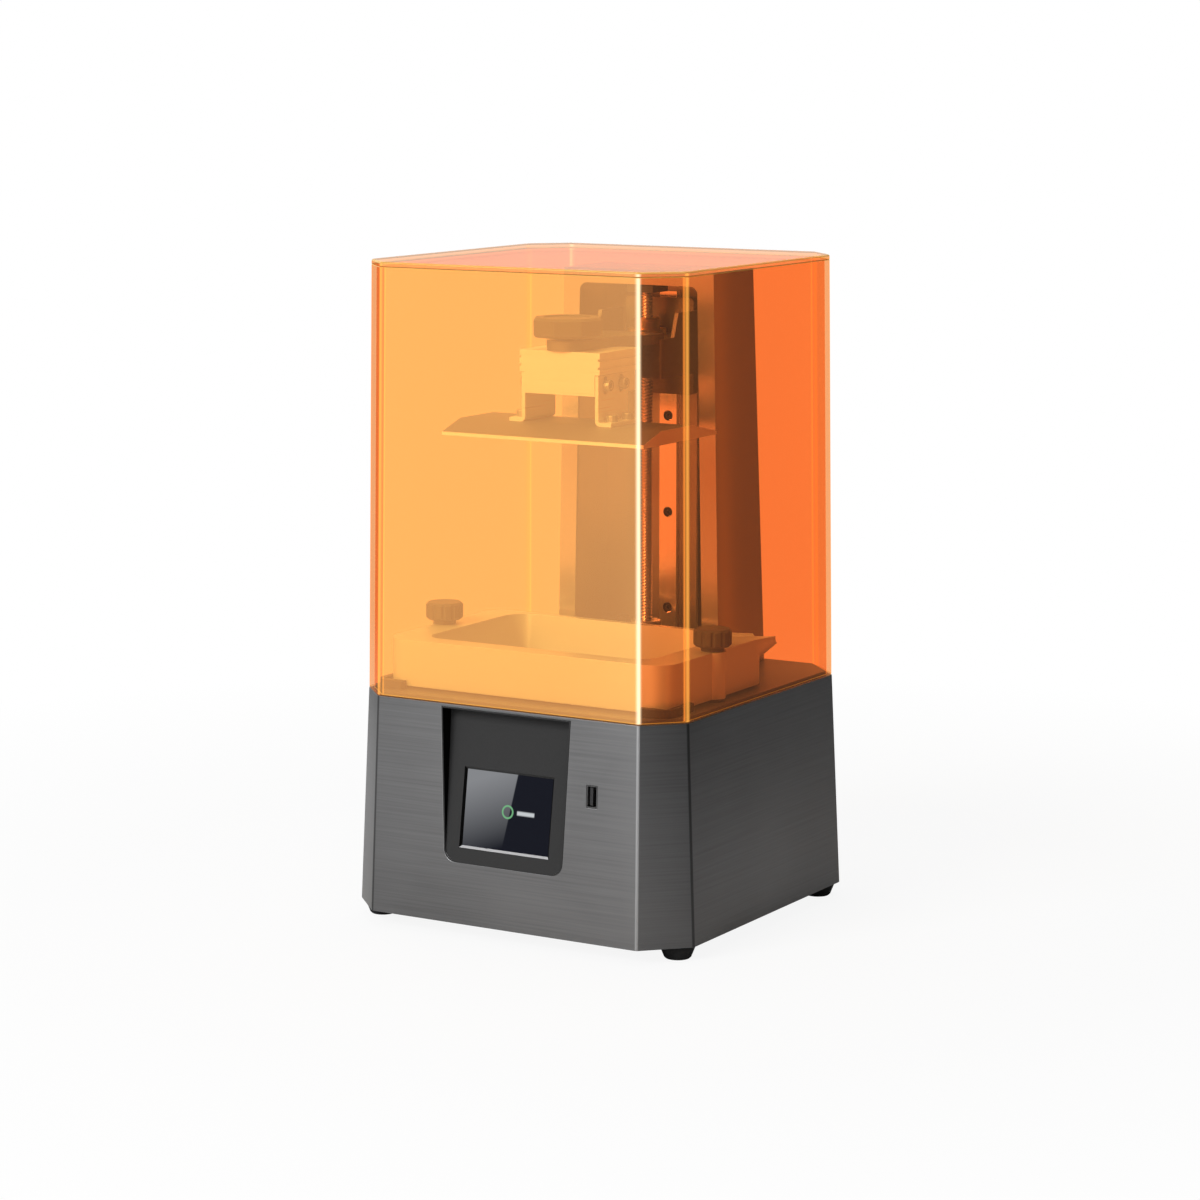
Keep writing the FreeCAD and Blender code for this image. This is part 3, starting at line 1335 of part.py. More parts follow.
PIECES = [
    base_housing, bottom_plate, rubber_feet, deck_plate, control_panel, touch_screen, screen_module,
    usb_socket, usb_tongue, mask_lcd, light_housing, led_array, heat_sink, light_posts, mainboard,
    board_standoffs, fan_frame, fan_rotor, fan_guard, power_switch, power_rocker, power_inlet, column,
    rail_plate, linear_rail, rail_screws, z_motor, motor_screws, motor_shaft, shaft_coupler, lead_screw,
    screw_top_bearing, limit_sensor, rail_block, rail_block_ends, carriage_plate, limit_flag,
    carriage_arm, lead_nut, platform_block, bracket_left, bracket_right, bracket_screws, plate_screws,
    build_plate, platform_knob, platform_stud, vat, vat_film, film_frame, vat_guides, vat_posts,
    vat_knob_left, vat_stud_left, vat_knob_right, vat_stud_right, cover_walls, cover_top,
]

os.makedirs("parts", exist_ok=True)
for make in PIECES:
    shape = make()
    name = make.__name__
    state = "valid" if shape.isValid() else "INVALID"
    print(name, state, len(shape.Solids), "solids", round(shape.Volume, 1))
    shape.exportStep("parts/" + name + ".step")
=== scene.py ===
"""Looks of a desktop resin printer: finishes, turned and threaded details, studio and camera."""
from __future__ import annotations

import json
import logging
import math
from dataclasses import dataclass, field
from enum import Enum
from typing import Any, Iterable, Mapping, Sequence, Union

import bmesh
import bpy
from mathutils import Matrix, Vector

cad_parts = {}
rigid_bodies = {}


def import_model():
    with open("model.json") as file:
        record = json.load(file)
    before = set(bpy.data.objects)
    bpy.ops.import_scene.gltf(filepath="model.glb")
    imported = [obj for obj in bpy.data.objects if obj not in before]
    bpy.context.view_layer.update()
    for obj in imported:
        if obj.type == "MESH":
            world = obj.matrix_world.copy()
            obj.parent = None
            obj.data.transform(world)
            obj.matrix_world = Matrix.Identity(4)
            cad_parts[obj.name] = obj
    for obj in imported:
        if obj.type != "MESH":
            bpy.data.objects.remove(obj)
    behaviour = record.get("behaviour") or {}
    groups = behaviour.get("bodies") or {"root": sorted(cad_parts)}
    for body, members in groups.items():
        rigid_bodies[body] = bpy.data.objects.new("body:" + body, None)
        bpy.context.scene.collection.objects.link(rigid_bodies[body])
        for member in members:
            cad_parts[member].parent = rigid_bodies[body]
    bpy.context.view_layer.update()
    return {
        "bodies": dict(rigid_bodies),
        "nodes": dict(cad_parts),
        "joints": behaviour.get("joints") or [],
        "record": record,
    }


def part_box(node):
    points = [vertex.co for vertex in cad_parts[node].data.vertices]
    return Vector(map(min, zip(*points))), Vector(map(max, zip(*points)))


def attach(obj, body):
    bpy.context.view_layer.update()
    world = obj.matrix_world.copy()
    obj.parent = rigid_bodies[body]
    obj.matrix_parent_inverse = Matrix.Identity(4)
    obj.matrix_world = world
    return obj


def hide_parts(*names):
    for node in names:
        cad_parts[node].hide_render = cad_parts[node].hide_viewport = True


LOG = logging.getLogger("printer")
MM = 0.001
WELD = 2e-6  # corners of a CAD mesh this close are one, in metres
LEVEL = math.radians(0.4)  # neighbouring faces this level become one
CREASE = math.radians(34.0)  # an edge sharper than this is softened
Colour = tuple[float, float, float]
Edge = tuple[float, float]  # where a mask changes, and half the width of the change
WHITE: Colour = (1.0, 1.0, 1.0)
FLAT_END: Edge = (0.617, 0.167)  # how far the bend that ends a front or rear flat looks ahead
Value = Union["Sock", float, Sequence[float]]


def grey(level: float) -> Colour:
    """A colour without a hue."""
    return (level, level, level)


def placed(name: str, data: bpy.types.ID) -> bpy.types.Object:
    """Adds an object to the scene.

    Args:
        name: The object's name.
        data: Its mesh, lamp or camera.

    Returns:
        The object.
    """
    thing = bpy.data.objects.new(name, data)
    bpy.context.scene.collection.objects.link(thing)
    return thing


class Sock:
    """A node's output that takes part in Python expressions."""

    def __init__(self, graph: "Graph", socket: bpy.types.NodeSocket) -> None:
        """Keeps the socket and the graph that it belongs to."""
        self.graph = graph
        self.socket = socket

    def maths(self, operation: str, *others: Value) -> "Sock":
        """Adds a Math node on this value and up to two others.

        Args:
            operation: The Math node's operation.
            others: The second and third operands.

        Returns:
            The node's result.
        """
        operands = dict(enumerate((self, *others)))
        return self.graph.add("ShaderNodeMath", {"operation": operation}, operands)

    def __add__(self, other: Value) -> "Sock":
        """This value plus another."""
        return self.maths("ADD", other)

    def __sub__(self, other: Value) -> "Sock":
        """This value less another."""
        return self.maths("SUBTRACT", other)

    def __mul__(self, other: Value) -> "Sock":
        """This value times another."""
        return self.maths("MULTIPLY", other)

    def __truediv__(self, other: Value) -> "Sock":
        """This value over another."""
        return self.maths("DIVIDE", other)

    def __rsub__(self, other: float) -> "Sock":
        """A number less this value."""
        return (self * -1.0) + other

    def __abs__(self) -> "Sock":
        """This value without its sign."""
        return self.maths("ABSOLUTE")

    __radd__ = __add__
    __rmul__ = __mul__

    def above(self, edge: float, soft: float) -> "Sock":
        """A mask that is 1 where the value is above an edge.

        Args:
            edge: Where the mask changes.
            soft: Half the width of the change.

        Returns:
            The mask, from 0 to 1.
        """
        return ((self - edge) / (2.0 * soft) + 0.5).clamped()

    def within(self, low: float, high: float, soft: float) -> "Sock":
        """A mask that is 1 where the value is between two limits."""
        return self.above(low, soft) * (1.0 - self.above(high, soft))

    def clamped(self) -> "Sock":
        """This value kept from 0 to 1."""
        return self.maths("MAXIMUM", 0.0).maths("MINIMUM", 1.0)


class Graph:
    """A node tree that is written as expressions."""

    def __init__(self, tree: bpy.types.NodeTree) -> None:
        """Empties the tree and keeps it."""
        self.tree = tree
        tree.nodes.clear()

    def add(
        self,
        kind: str,
        settings: Mapping[str, Any] | None = None,
        inputs: Mapping[Union[str, int], Value] | None = None,
        output: Union[str, int] = 0,
    ) -> Sock:
        """Adds any node.

        Args:
            kind: The node's type.
            settings: The node's own settings, set first.
            inputs: The values or links of its sockets, by name or index.
            output: The output to hand back.

        Returns:
            The chosen output.
        """
        node = self.tree.nodes.new(kind)
        for key, value in (settings or {}).items():
            setattr(node, key, value)
        for key, value in (inputs or {}).items():
            self.feed(node.inputs[key], value)
        return Sock(self, node.outputs[output])

    def feed(self, socket: bpy.types.NodeSocket, value: Value) -> None:
        """Links a value to a socket, or sets the socket's own value.

        Args:
            socket: The socket to fill.
            value: Another node's output, a number, a colour or a vector.
        """
        if isinstance(value, Sock):
            self.tree.links.new(value.socket, socket)
        elif isinstance(value, (tuple, list)) and len(value) == 3 and socket.type == "RGBA":
            socket.default_value = (*value, 1.0)
        else:
            socket.default_value = value


class Surface(Graph):
    """The node tree of one material."""

    def __init__(self, name: str) -> None:
        """Starts an empty material.

        Args:
            name: The material's name.
        """
        self.material = bpy.data.materials.new(name)
        self.material.use_nodes = True
        super().__init__(self.material.node_tree)

    def place(self, scale: Sequence[float]) -> Sock:
        """The point on the object, in metres, stretched by a scale on each axis."""
        point = self.add("ShaderNodeTexCoord", output="Object")
        return self.add("ShaderNodeMapping", {"vector_type": "POINT"}, {"Vector": point, "Scale": scale})

    def axis(self, name: str, point: Sock | None = None) -> Sock:
        """One coordinate, X, Y or Z, of the point on the object or of another vector."""
        source = point or self.add("ShaderNodeTexCoord", output="Object")
        return self.add("ShaderNodeSeparateXYZ", inputs={"Vector": source}, output=name)

    def noise(self, scale: Sequence[float], detail: float = 2.0, rough: float = 0.5) -> Sock:
        """Noise, from 0 to 1, with its own number of features per metre on each axis.

        Args:
            scale: Features per metre along X, Y and Z.
            detail: Octaves of finer noise.
            rough: Strength of the finer octaves.

        Returns:
            The noise value.
        """
        sockets = {"Vector": self.place(scale), "Scale": 1.0, "Detail": detail, "Roughness": rough}
        return self.add("ShaderNodeTexNoise", inputs=sockets)

    def mix(self, first: Value, second: Value, share: Value) -> Sock:
        """A colour between two others."""
        sockets = {0: share, 6: first, 7: second}
        return self.add("ShaderNodeMix", {"data_type": "RGBA"}, sockets, output=2)

    def bump(self, height: Sock, depth: float) -> Sock:
        """A normal from a height, whose full range is a depth in metres."""
        return self.add("ShaderNodeBump", inputs={"Height": height, "Distance": depth})

    def facing(self, name: str) -> Sock:
        """How far the face looks along X, Y or Z, from -1 to 1."""
        return self.axis(name, self.add("ShaderNodeNewGeometry", output="Normal"))

    def bends(self, gain: float = 4.0) -> tuple[Sock, Sock]:
        """Masks of the rounded bends between upright flats.

        Args:
            gain: How steeply the masks rise; at 4 they reach 1 only midway round a bend.

        Returns:
            The mask of the bends that end a front or rear flat on its right, and that of all others.
        """
        across = self.facing("X")
        ahead = self.facing("Y")
        turn = across * ahead * (across * across - ahead * ahead) * gain
        right = turn.clamped() * abs(ahead).above(*FLAT_END)
        return right, abs(turn).clamped() * (1.0 - right)

    def principled(self, **sockets: Value) -> Sock:
        """A Principled shader; underscores in the names stand for spaces."""
        named = {key.replace("_", " "): value for key, value in sockets.items()}
        return self.add("ShaderNodeBsdfPrincipled", inputs=named)

    def blend(self, first: Sock, second: Sock, share: Value) -> Sock:
        """Two shaders mixed by a share of the second."""
        return self.add("ShaderNodeMixShader", inputs={0: share, 1: first, 2: second})

    def close(self, shader: Sock) -> bpy.types.Material:
        """Links a shader to the material's output.

        Args:
            shader: What the surface shows.

        Returns:
            The finished material.
        """
        node = self.tree.nodes.new("ShaderNodeOutputMaterial")
        self.tree.links.new(shader.socket, node.inputs["Surface"])
        return self.material


class Grain(Enum):
    """How a surface was worked, as features per metre along X, Y and Z."""

    BRUSHED_ACROSS = (9.0, 9.0, 900.0)
    GROUND_ALONG = (1100.0, 1100.0, 7.0)
    BLASTED = (2600.0, 2600.0, 2600.0)
    MOULDED = (1500.0, 1500.0, 1500.0)
    TURNED = (40.0, 40.0, 3200.0)


@dataclass(frozen=True)
class Finish:
    """An opaque finish with a grain, a slow change of tone and, where edge is set, a painted highlight and
    painted shade on its bends.

    Attributes:
        name: The record's material slot.
        colour: Linear base colour.
        rough: Mean roughness.
        metal: 1 for bare metal and 0 for paint, plastic and rubber.
        grain: How the surface was worked.
        lines: Share by which the grain changes the colour.
        depth: Depth of the grain in metres.
        gloss: Specular level.
        edge: Painted highlight and painted shade: how much brighter a flat's right bend is, and how much
            darker the other bends.
        flank: Grey level of upright faces, where they are machined bright.
        upright: How far a face may look up or down and still be upright.
        flank_metal: How much more metallic those faces are.
        drift: Slow changes of tone per metre.
        uneven: Range by which the grain changes the roughness.
    """

    name: str
    colour: Colour
    rough: float
    metal: float = 0.0
    grain: Grain = Grain.MOULDED
    lines: float = 0.06
    depth: float = 4e-6
    gloss: float = 0.4
    edge: float = 0.0
    flank: float = 0.0
    upright: Edge = (0.4, 0.1)
    flank_metal: float = 0.3
    drift: float = 14.0
    uneven: float = 0.16

    def scaled(self, factor: float) -> Colour:
        """The base colour made darker or lighter."""
        red, green, blue = self.colour
        return (red * factor, green * factor, blue * factor)

    def material(self) -> bpy.types.Material:
        """Builds the material.

        Returns:
            A material whose colour, roughness and normal carry the grain.
        """
        surface = Surface(self.name)
        grain = surface.noise(self.grain.value, detail=3.0, rough=0.6)
        drift = surface.noise(grey(self.drift))
        spread = 1.5 * self.lines
        shown = surface.mix(self.scaled(1.0 - spread), self.scaled(1.0 + spread), (grain * 2.0 + drift) / 3.0)
        if self.edge:
            # painted highlight on the bends that end a flat on its right, painted shade on the other bends
            right, left = surface.bends(6.0)
            bright, dim = self.scaled(1.0 + self.edge), self.scaled(1.0 / (1.0 + self.edge))
            shown = surface.mix(surface.mix(shown, bright, right), dim, left)
        metal: Value = self.metal
        if self.flank:
            bare = 1.0 - abs(surface.facing("Z")).above(*self.upright)
            shown = surface.mix(shown, grey(self.flank), bare)
            metal = bare * self.flank_metal + self.metal
        shader = surface.principled(
            Base_Color=shown,
            Roughness=(grain - 0.5) * self.uneven + self.rough,
            Metallic=metal,
            Specular_IOR_Level=self.gloss,
            Normal=surface.bump(grain, self.depth),
        )
        return surface.close(shader)


@dataclass(frozen=True)
class CoverTint:
    """Transparent orange sheet with a slight haze and a mirror gloss, and with painted light: a paler front,
    a painted glow and painted highlights on its bends.

    Attributes:
        name: The record's material slot.
        tint: Colour that one face of the sheet lets through.
        painted_lit_front_tint: The same for the front, paler as painted light that stands in for the lit
            front.
        inside: Colour of the light that one face lets into the chamber.
        haze: Colour of the light that the sheet scatters.
        cloud: Share of scattered light.
        painted_glow: Painted glow: colour of a faint emission over the whole sheet, standing in for light
            that the sheet scatters.
        painted_front_glow: Painted glow on the front: colour of an emission that stands in for the lamp's
            light scattered in the front of the sheet.
        bend: Painted highlight: colour of an emission on the bends that turn right, standing in for the light
            that they catch.
        other: The same painted highlight for the bends that turn left.
        glow: Brightness of the four painted glows.
        painted_glow_share: Share of the painted glow over the whole sheet.
        painted_front_glow_share: The same for the painted glow on the front.
        painted_right_glint_share: Share of the painted highlight in the middle of a bend that turns right.
        painted_left_glint_share: Share of the painted highlight on a bend that turns left.
        sheen: Colour of the light that a face sends back.
        mirror: Its share straight on.
        graze: What is added to the share where the face is seen along the surface.
        falloff: Power by which that addition falls away.
        ahead: How far a front face looks ahead.
        before: How far the front sheet stands ahead of the middle, in metres.
    """

    name: str = "cover_tint"
    tint: Colour = (0.995, 0.65, 0.42)
    painted_lit_front_tint: Colour = (0.99, 0.9, 0.62)
    inside: Colour = (1.0, 0.9, 0.62)
    haze: Colour = (1.0, 0.4, 0.12)
    cloud: float = 0.012
    painted_glow: Colour = (1.0, 0.45, 0.25)
    painted_front_glow: Colour = (1.0, 0.45, 0.16)
    bend: Colour = (1.0, 0.88, 0.62)
    other: Colour = (1.0, 0.42, 0.07)
    glow: float = 2.0
    painted_glow_share: float = 0.012
    painted_front_glow_share: float = 0.13
    painted_right_glint_share: float = 0.45
    painted_left_glint_share: float = 0.4
    sheen: Colour = (0.82, 0.9, 0.6)
    mirror: float = 0.004
    graze: float = 0.34
    falloff: float = 5.0
    ahead: Edge = (0.883, 0.083)
    before: Edge = (0.025, 0.025)

    def material(self) -> bpy.types.Material:
        """Builds the material.

        Returns:
            A mix of a tinted clear shader, paler on the front as painted light, with a hazy one, four glowing
            ones that are painted light, and a mirror one.
        """
        surface = Surface(self.name)
        right, left = surface.bends()
        ripple = surface.noise((30.0, 30.0, 6.0))
        slant = surface.add("ShaderNodeLayerWeight", output="Facing")
        squarely = (surface.facing("Y") * -1.0).above(*self.ahead)
        # front marks the front face, which gets the paler painted-light tint and the painted glow
        front = squarely * (surface.axis("Y") * -1.0).above(*self.before)
        dyed, pale, lamp = (
            surface.add("ShaderNodeBsdfTransparent", inputs={"Color": colour})
            for colour in (self.tint, self.painted_lit_front_tint, self.inside))
        clear = surface.blend(dyed, pale, front)
        hazy = surface.principled(Base_Color=self.haze, Roughness=0.5, Specular_IOR_Level=0.0)
        shown = surface.blend(clear, hazy, (ripple - 0.5) * 0.01 + self.cloud)
        # painted light: four emissions that stand in for light scattered in the sheet and for highlights on
        # its bends
        glows = (
            (self.painted_glow, self.painted_glow_share),
            (self.painted_front_glow, front * self.painted_front_glow_share),
            # painted highlights on the bends
            (self.bend, right * right * self.painted_right_glint_share),
            (self.other, left * left * self.painted_left_glint_share))
        for colour, share in glows:
            light = surface.add("ShaderNodeEmission", inputs={"Color": colour, "Strength": self.glow})
            shown = surface.blend(shown, light, share)
        mirror = surface.principled(Base_Color=self.sheen, Metallic=1.0, Roughness=ripple * 0.03 + 0.03)
        shown = surface.blend(shown, mirror, slant.maths("POWER", self.falloff) * self.graze + self.mirror)
        lit = surface.add("ShaderNodeLightPath", output="Is Shadow Ray")
        return surface.close(surface.blend(shown, lamp, lit))


@dataclass(frozen=True)
class EdgeGlow:
    """Cut edge of the tinted sheet: a painted highlight where it looks up and painted shade where it looks
    down.

    Attributes:
        name: The material's name.
        bright: Painted highlight: colour where it looks up, standing in for the light that it catches from
            above.
        painted_underside_shade: Painted shade: colour of its underside.
        tint: Colour that it lets through.
        body: Share of the light that it doesn't let through.
    """

    name: str = "cover_edge"
    bright: Colour = (1.0, 0.66, 0.14)
    painted_underside_shade: Colour = (0.2, 0.06, 0.01)
    tint: Colour = (1.0, 0.7, 0.3)
    body: float = 0.6

    def material(self) -> bpy.types.Material:
        """Builds the material.

        Returns:
            A mix of a clear shader with a streaked one that carries the painted highlight and shade.
        """
        surface = Surface(self.name)
        streaks = surface.noise((200.0, 200.0, 30.0)) * 0.2
        # painted highlight on faces that look up, painted shade on those that look down
        up = (surface.facing("Z").above(0.0, 0.2) - streaks).clamped()
        body = surface.principled(Base_Color=surface.mix(self.painted_underside_shade, self.bright, up), Roughness=0.3)
        clear = surface.add("ShaderNodeBsdfTransparent", inputs={"Color": self.tint})
        return surface.close(surface.blend(clear, body, self.body))


@dataclass(frozen=True)
class MetalEdge:
    """Bright broken edge of a machined piece: partly the bare metal's own brightness and partly a painted
    highlight along the edge.

    Attributes:
        name: The material's name.
        dull: Colour in the chatter marks.
        bright: Colour between them.
        marks: Chatter marks per metre.
    """

    name: str = "metal_edge"
    dull: Colour = grey(0.8)
    bright: Colour = grey(0.95)
    marks: float = 900.0

    def material(self) -> bpy.types.Material:
        """Builds the material.

        Returns:
            A bright material with fine chatter marks in its colour and roughness.
        """
        surface = Surface(self.name)
        marks = surface.noise(grey(self.marks))
        shader = surface.principled(
            Base_Color=surface.mix(self.dull, self.bright, marks), Roughness=marks * 0.2 + 0.25, Metallic=0.4)
        return surface.close(shader)


@dataclass(frozen=True)
class ClearFilm:
    """Thin clear film.

    Attributes:
        name: The record's material slot.
        colour: Colour of the light that it scatters.
        streak: The same in its faint streaks.
        tint: Colour that it lets through.
        cloud: Share of scattered light.
    """

    name: str = "film_clear"
    colour: Colour = (0.8, 0.84, 0.88)
    streak: Colour = (0.6, 0.64, 0.7)
    tint: Colour = (0.96, 0.97, 0.98)
    cloud: float = 0.18

    def material(self) -> bpy.types.Material:
        """Builds the material.

        Returns:
            A mix of a clear shader with a glossy one.
        """
        surface = Surface(self.name)
        body = surface.principled(
            Base_Color=surface.mix(self.colour, self.streak, surface.noise(grey(20.0))), Roughness=0.15)
        clear = surface.add("ShaderNodeBsdfTransparent", inputs={"Color": self.tint})
        shine = surface.add("ShaderNodeFresnel", inputs={"IOR": 1.4})
        return surface.close(surface.blend(clear, body, (shine + self.cloud).clamped()))


@dataclass(frozen=True)
class ScreenGlass:
    """Dark glass over a lit display that shows a plain ring and a bar, with a painted reflection in its
    emission.

    Attributes:
        name: The record's material slot.
        middle: Height of the display's middle in metres.
        half_width: Half of the display's width.
        half_height: Half of the display's height.
        squash: What makes the ring round on a display that is wider than high.
        ring: Inner and outer radius of the ring, in half widths.
        bar: Left and right end of the bar, in half widths.
        bar_half: Half of the bar's height, in half heights.
        dark: Colour of the display where nothing is shown.
        sheen: Painted reflection: colour of its bright side, which the display emits.
        painted_reflection_end: Where the painted reflection ends, in half widths.
        lean: How far that end leans to the right at the top.
        ring_colour: Colour of the ring.
        bar_colour: Colour of the bar.
    """

    name: str = "screen_glass"
    middle: float = 0.0777
    half_width: float = 0.0294
    half_height: float = 0.0224
    squash: float = 0.56
    ring: tuple[float, float] = (0.1, 0.135)
    bar: tuple[float, float] = (0.22, 0.62)
    bar_half: float = 0.05
    dark: Colour = (0.003, 0.003, 0.006)
    sheen: Colour = (0.22, 0.225, 0.235)
    painted_reflection_end: Edge = (0.05, 0.012)
    lean: float = 0.13
    ring_colour: Colour = (0.16, 0.42, 0.2)
    bar_colour: Colour = (0.55, 0.58, 0.6)

    def material(self) -> bpy.types.Material:
        """Builds the material.

        Returns:
            A dark gloss whose emission is a slanting painted reflection, a ring and a bar.
        """
        surface = Surface(self.name)
        x = surface.axis("X") / self.half_width
        z = (surface.axis("Z") - self.middle) / self.half_height
        # painted reflection: a bright side on the left whose edge slants, fading downwards and to the right
        slant = 1.0 - (x - z * self.lean).above(*self.painted_reflection_end)
        sheen = slant * (z * 0.5 - x * 0.25 + 0.45).clamped()
        ring = (x * x + z * z * self.squash).maths("SQRT").within(*self.ring, 0.006)
        bar = x.within(*self.bar, 0.01) * z.within(-self.bar_half, self.bar_half, 0.02)
        glow = surface.mix(self.dark, self.sheen, sheen)
        glow = surface.mix(surface.mix(glow, self.ring_colour, ring), self.bar_colour, bar)
        shader = surface.principled(
            # the base colour is a little lighter under the painted reflection
            Base_Color=surface.mix((0.006, 0.007, 0.01), (0.012, 0.014, 0.018), sheen),
            Roughness=surface.noise(grey(60.0)) * 0.05 + 0.08,
            Emission_Color=glow,
            Emission_Strength=1.0,
            Specular_IOR_Level=0.015,
        )
        return surface.close(shader)


@dataclass(frozen=True)
class PanelPlastic:
    """Satin black plastic with painted shade on its side walls and a painted highlight where it looks up.

    Attributes:
        name: The record's material slot.
        colour: Colour of the face.
        wall: Painted shade: near-black colour of the walls that look sideways, standing in for the shade in
            the recess.
        painted_lit_lip: Painted highlight: pale colour of the slopes that look up, standing in for light from
            above.
        turned: How far a wall looks aside, or a slope up.
    """

    name: str = "panel_plastic"
    colour: Colour = (0.042, 0.042, 0.0425)
    wall: Colour = grey(0.002)
    painted_lit_lip: Colour = (0.55, 0.55, 0.56)
    turned: Edge = (0.45, 0.1)

    def material(self) -> bpy.types.Material:
        """Builds the material.

        Returns:
            A satin material whose colour follows the way that a face looks: painted shade on side walls and a
            painted highlight on upward slopes.
        """
        surface = Surface(self.name)
        grain = surface.noise(Grain.MOULDED.value)
        # painted shade on faces that look sideways, painted highlight on faces that look up
        wall = abs(surface.facing("X")).above(*self.turned)
        painted_lit_lip = surface.facing("Z").above(*self.turned)
        soft = tuple(channel * 0.8 for channel in self.colour)
        shown = surface.mix(surface.mix(soft, self.colour, grain), self.wall, wall)
        shader = surface.principled(
            Base_Color=surface.mix(shown, self.painted_lit_lip, painted_lit_lip),
            Roughness=wall * 0.5 + grain * 0.08 + 0.3,
            Specular_IOR_Level=0.06,
            Normal=surface.bump(grain, 2e-6),
        )
        return surface.close(shader)


@dataclass(frozen=True)
class BoardLacquer:
    """Green circuit board with faint copper runs under its lacquer.

    Attributes:
        name: The record's material slot.
        ground: Colour between the runs.
        run: Colour over the runs.
    """

    name: str = "circuit_board"
    ground: Colour = (0.008, 0.06, 0.028)
    run: Colour = (0.02, 0.16, 0.07)

    def material(self) -> bpy.types.Material:
        """Builds the material.

        Returns:
            A glossy material with a brick pattern that stands for the runs.
        """
        surface = Surface(self.name)
        sockets = {"Vector": surface.place(grey(120.0)), "Scale": 1.0, "Mortar Size": 0.06}
        runs = surface.add("ShaderNodeTexBrick", {"offset": 0.37}, sockets, output="Fac")
        shader = surface.principled(
            Base_Color=surface.mix(self.ground, self.run, runs),
            Roughness=surface.noise(grey(300.0)) * 0.15 + 0.3,
            Normal=surface.bump(runs, 3e-5),
        )
        return surface.close(shader)


FINISHES = (
    # base_paint's edge paints a highlight on its right-hand bends and shade on the others
    Finish(
        "base_paint", (0.15, 0.15, 0.152), 0.38, 0.82, Grain.BRUSHED_ACROSS,
        lines=0.28, depth=1.2e-5, gloss=0.08, edge=1.5),
    Finish("bottom_steel", grey(0.04), 0.6, gloss=0.3),
    Finish("foot_rubber", grey(0.012), 0.75, depth=2e-5, gloss=0.25),
    Finish("deck_paint", (0.095, 0.095, 0.097), 0.45, 0.0, Grain.BRUSHED_ACROSS, lines=0.1, depth=1e-6),
    PanelPlastic(),
    ScreenGlass(),
    BoardLacquer(),
    Finish("socket_steel", (0.1, 0.1, 0.101), 0.35, 0.6, Grain.GROUND_ALONG),
    Finish("black_plastic", (0.018, 0.018, 0.019), 0.5, gloss=0.35),
    Finish("guard_paint", (0.03, 0.03, 0.031), 0.5),
    Finish("mask_glass", (0.02, 0.02, 0.028), 0.08, grain=Grain.BLASTED, depth=1e-7, gloss=0.5),
    Finish("raw_aluminium", (0.72, 0.72, 0.73), 0.38, 1.0, Grain.TURNED),
    Finish("post_steel", grey(0.45), 0.35, 1.0, Grain.GROUND_ALONG),
    Finish("column_paint", grey(0.56), 0.22, 0.75, Grain.BLASTED, lines=0.05, depth=5e-7),
    Finish("rail_steel", grey(0.95), 0.18, 0.9, Grain.GROUND_ALONG, lines=0.05, depth=1e-6),
    Finish("fastener_steel", grey(0.4), 0.35, 0.6, Grain.TURNED),
    Finish("motor_paint", grey(0.03), 0.5),
    Finish("bearing_plastic", grey(0.05), 0.5),
    Finish("carriage_metal", grey(0.17), 0.28, 0.5, Grain.BLASTED),
    Finish("nut_brass", (0.62, 0.45, 0.2), 0.3, 1.0, Grain.TURNED),
    Finish("platform_metal", grey(0.93), 0.3, 0.25, Grain.BRUSHED_ACROSS, depth=1e-6),
    Finish("plate_metal", grey(0.14), 0.5, 0.0, Grain.BLASTED, lines=0.1, flank=0.95),
    Finish("knob_plastic", grey(0.09), 0.5),
    Finish("vat_plastic", (0.74, 0.74, 0.72), 0.35, 0.3, depth=1e-6),
    ClearFilm(),
    Finish("guide_plastic", grey(0.04), 0.5),
    CoverTint(),
    EdgeGlow(),
    MetalEdge(),
)


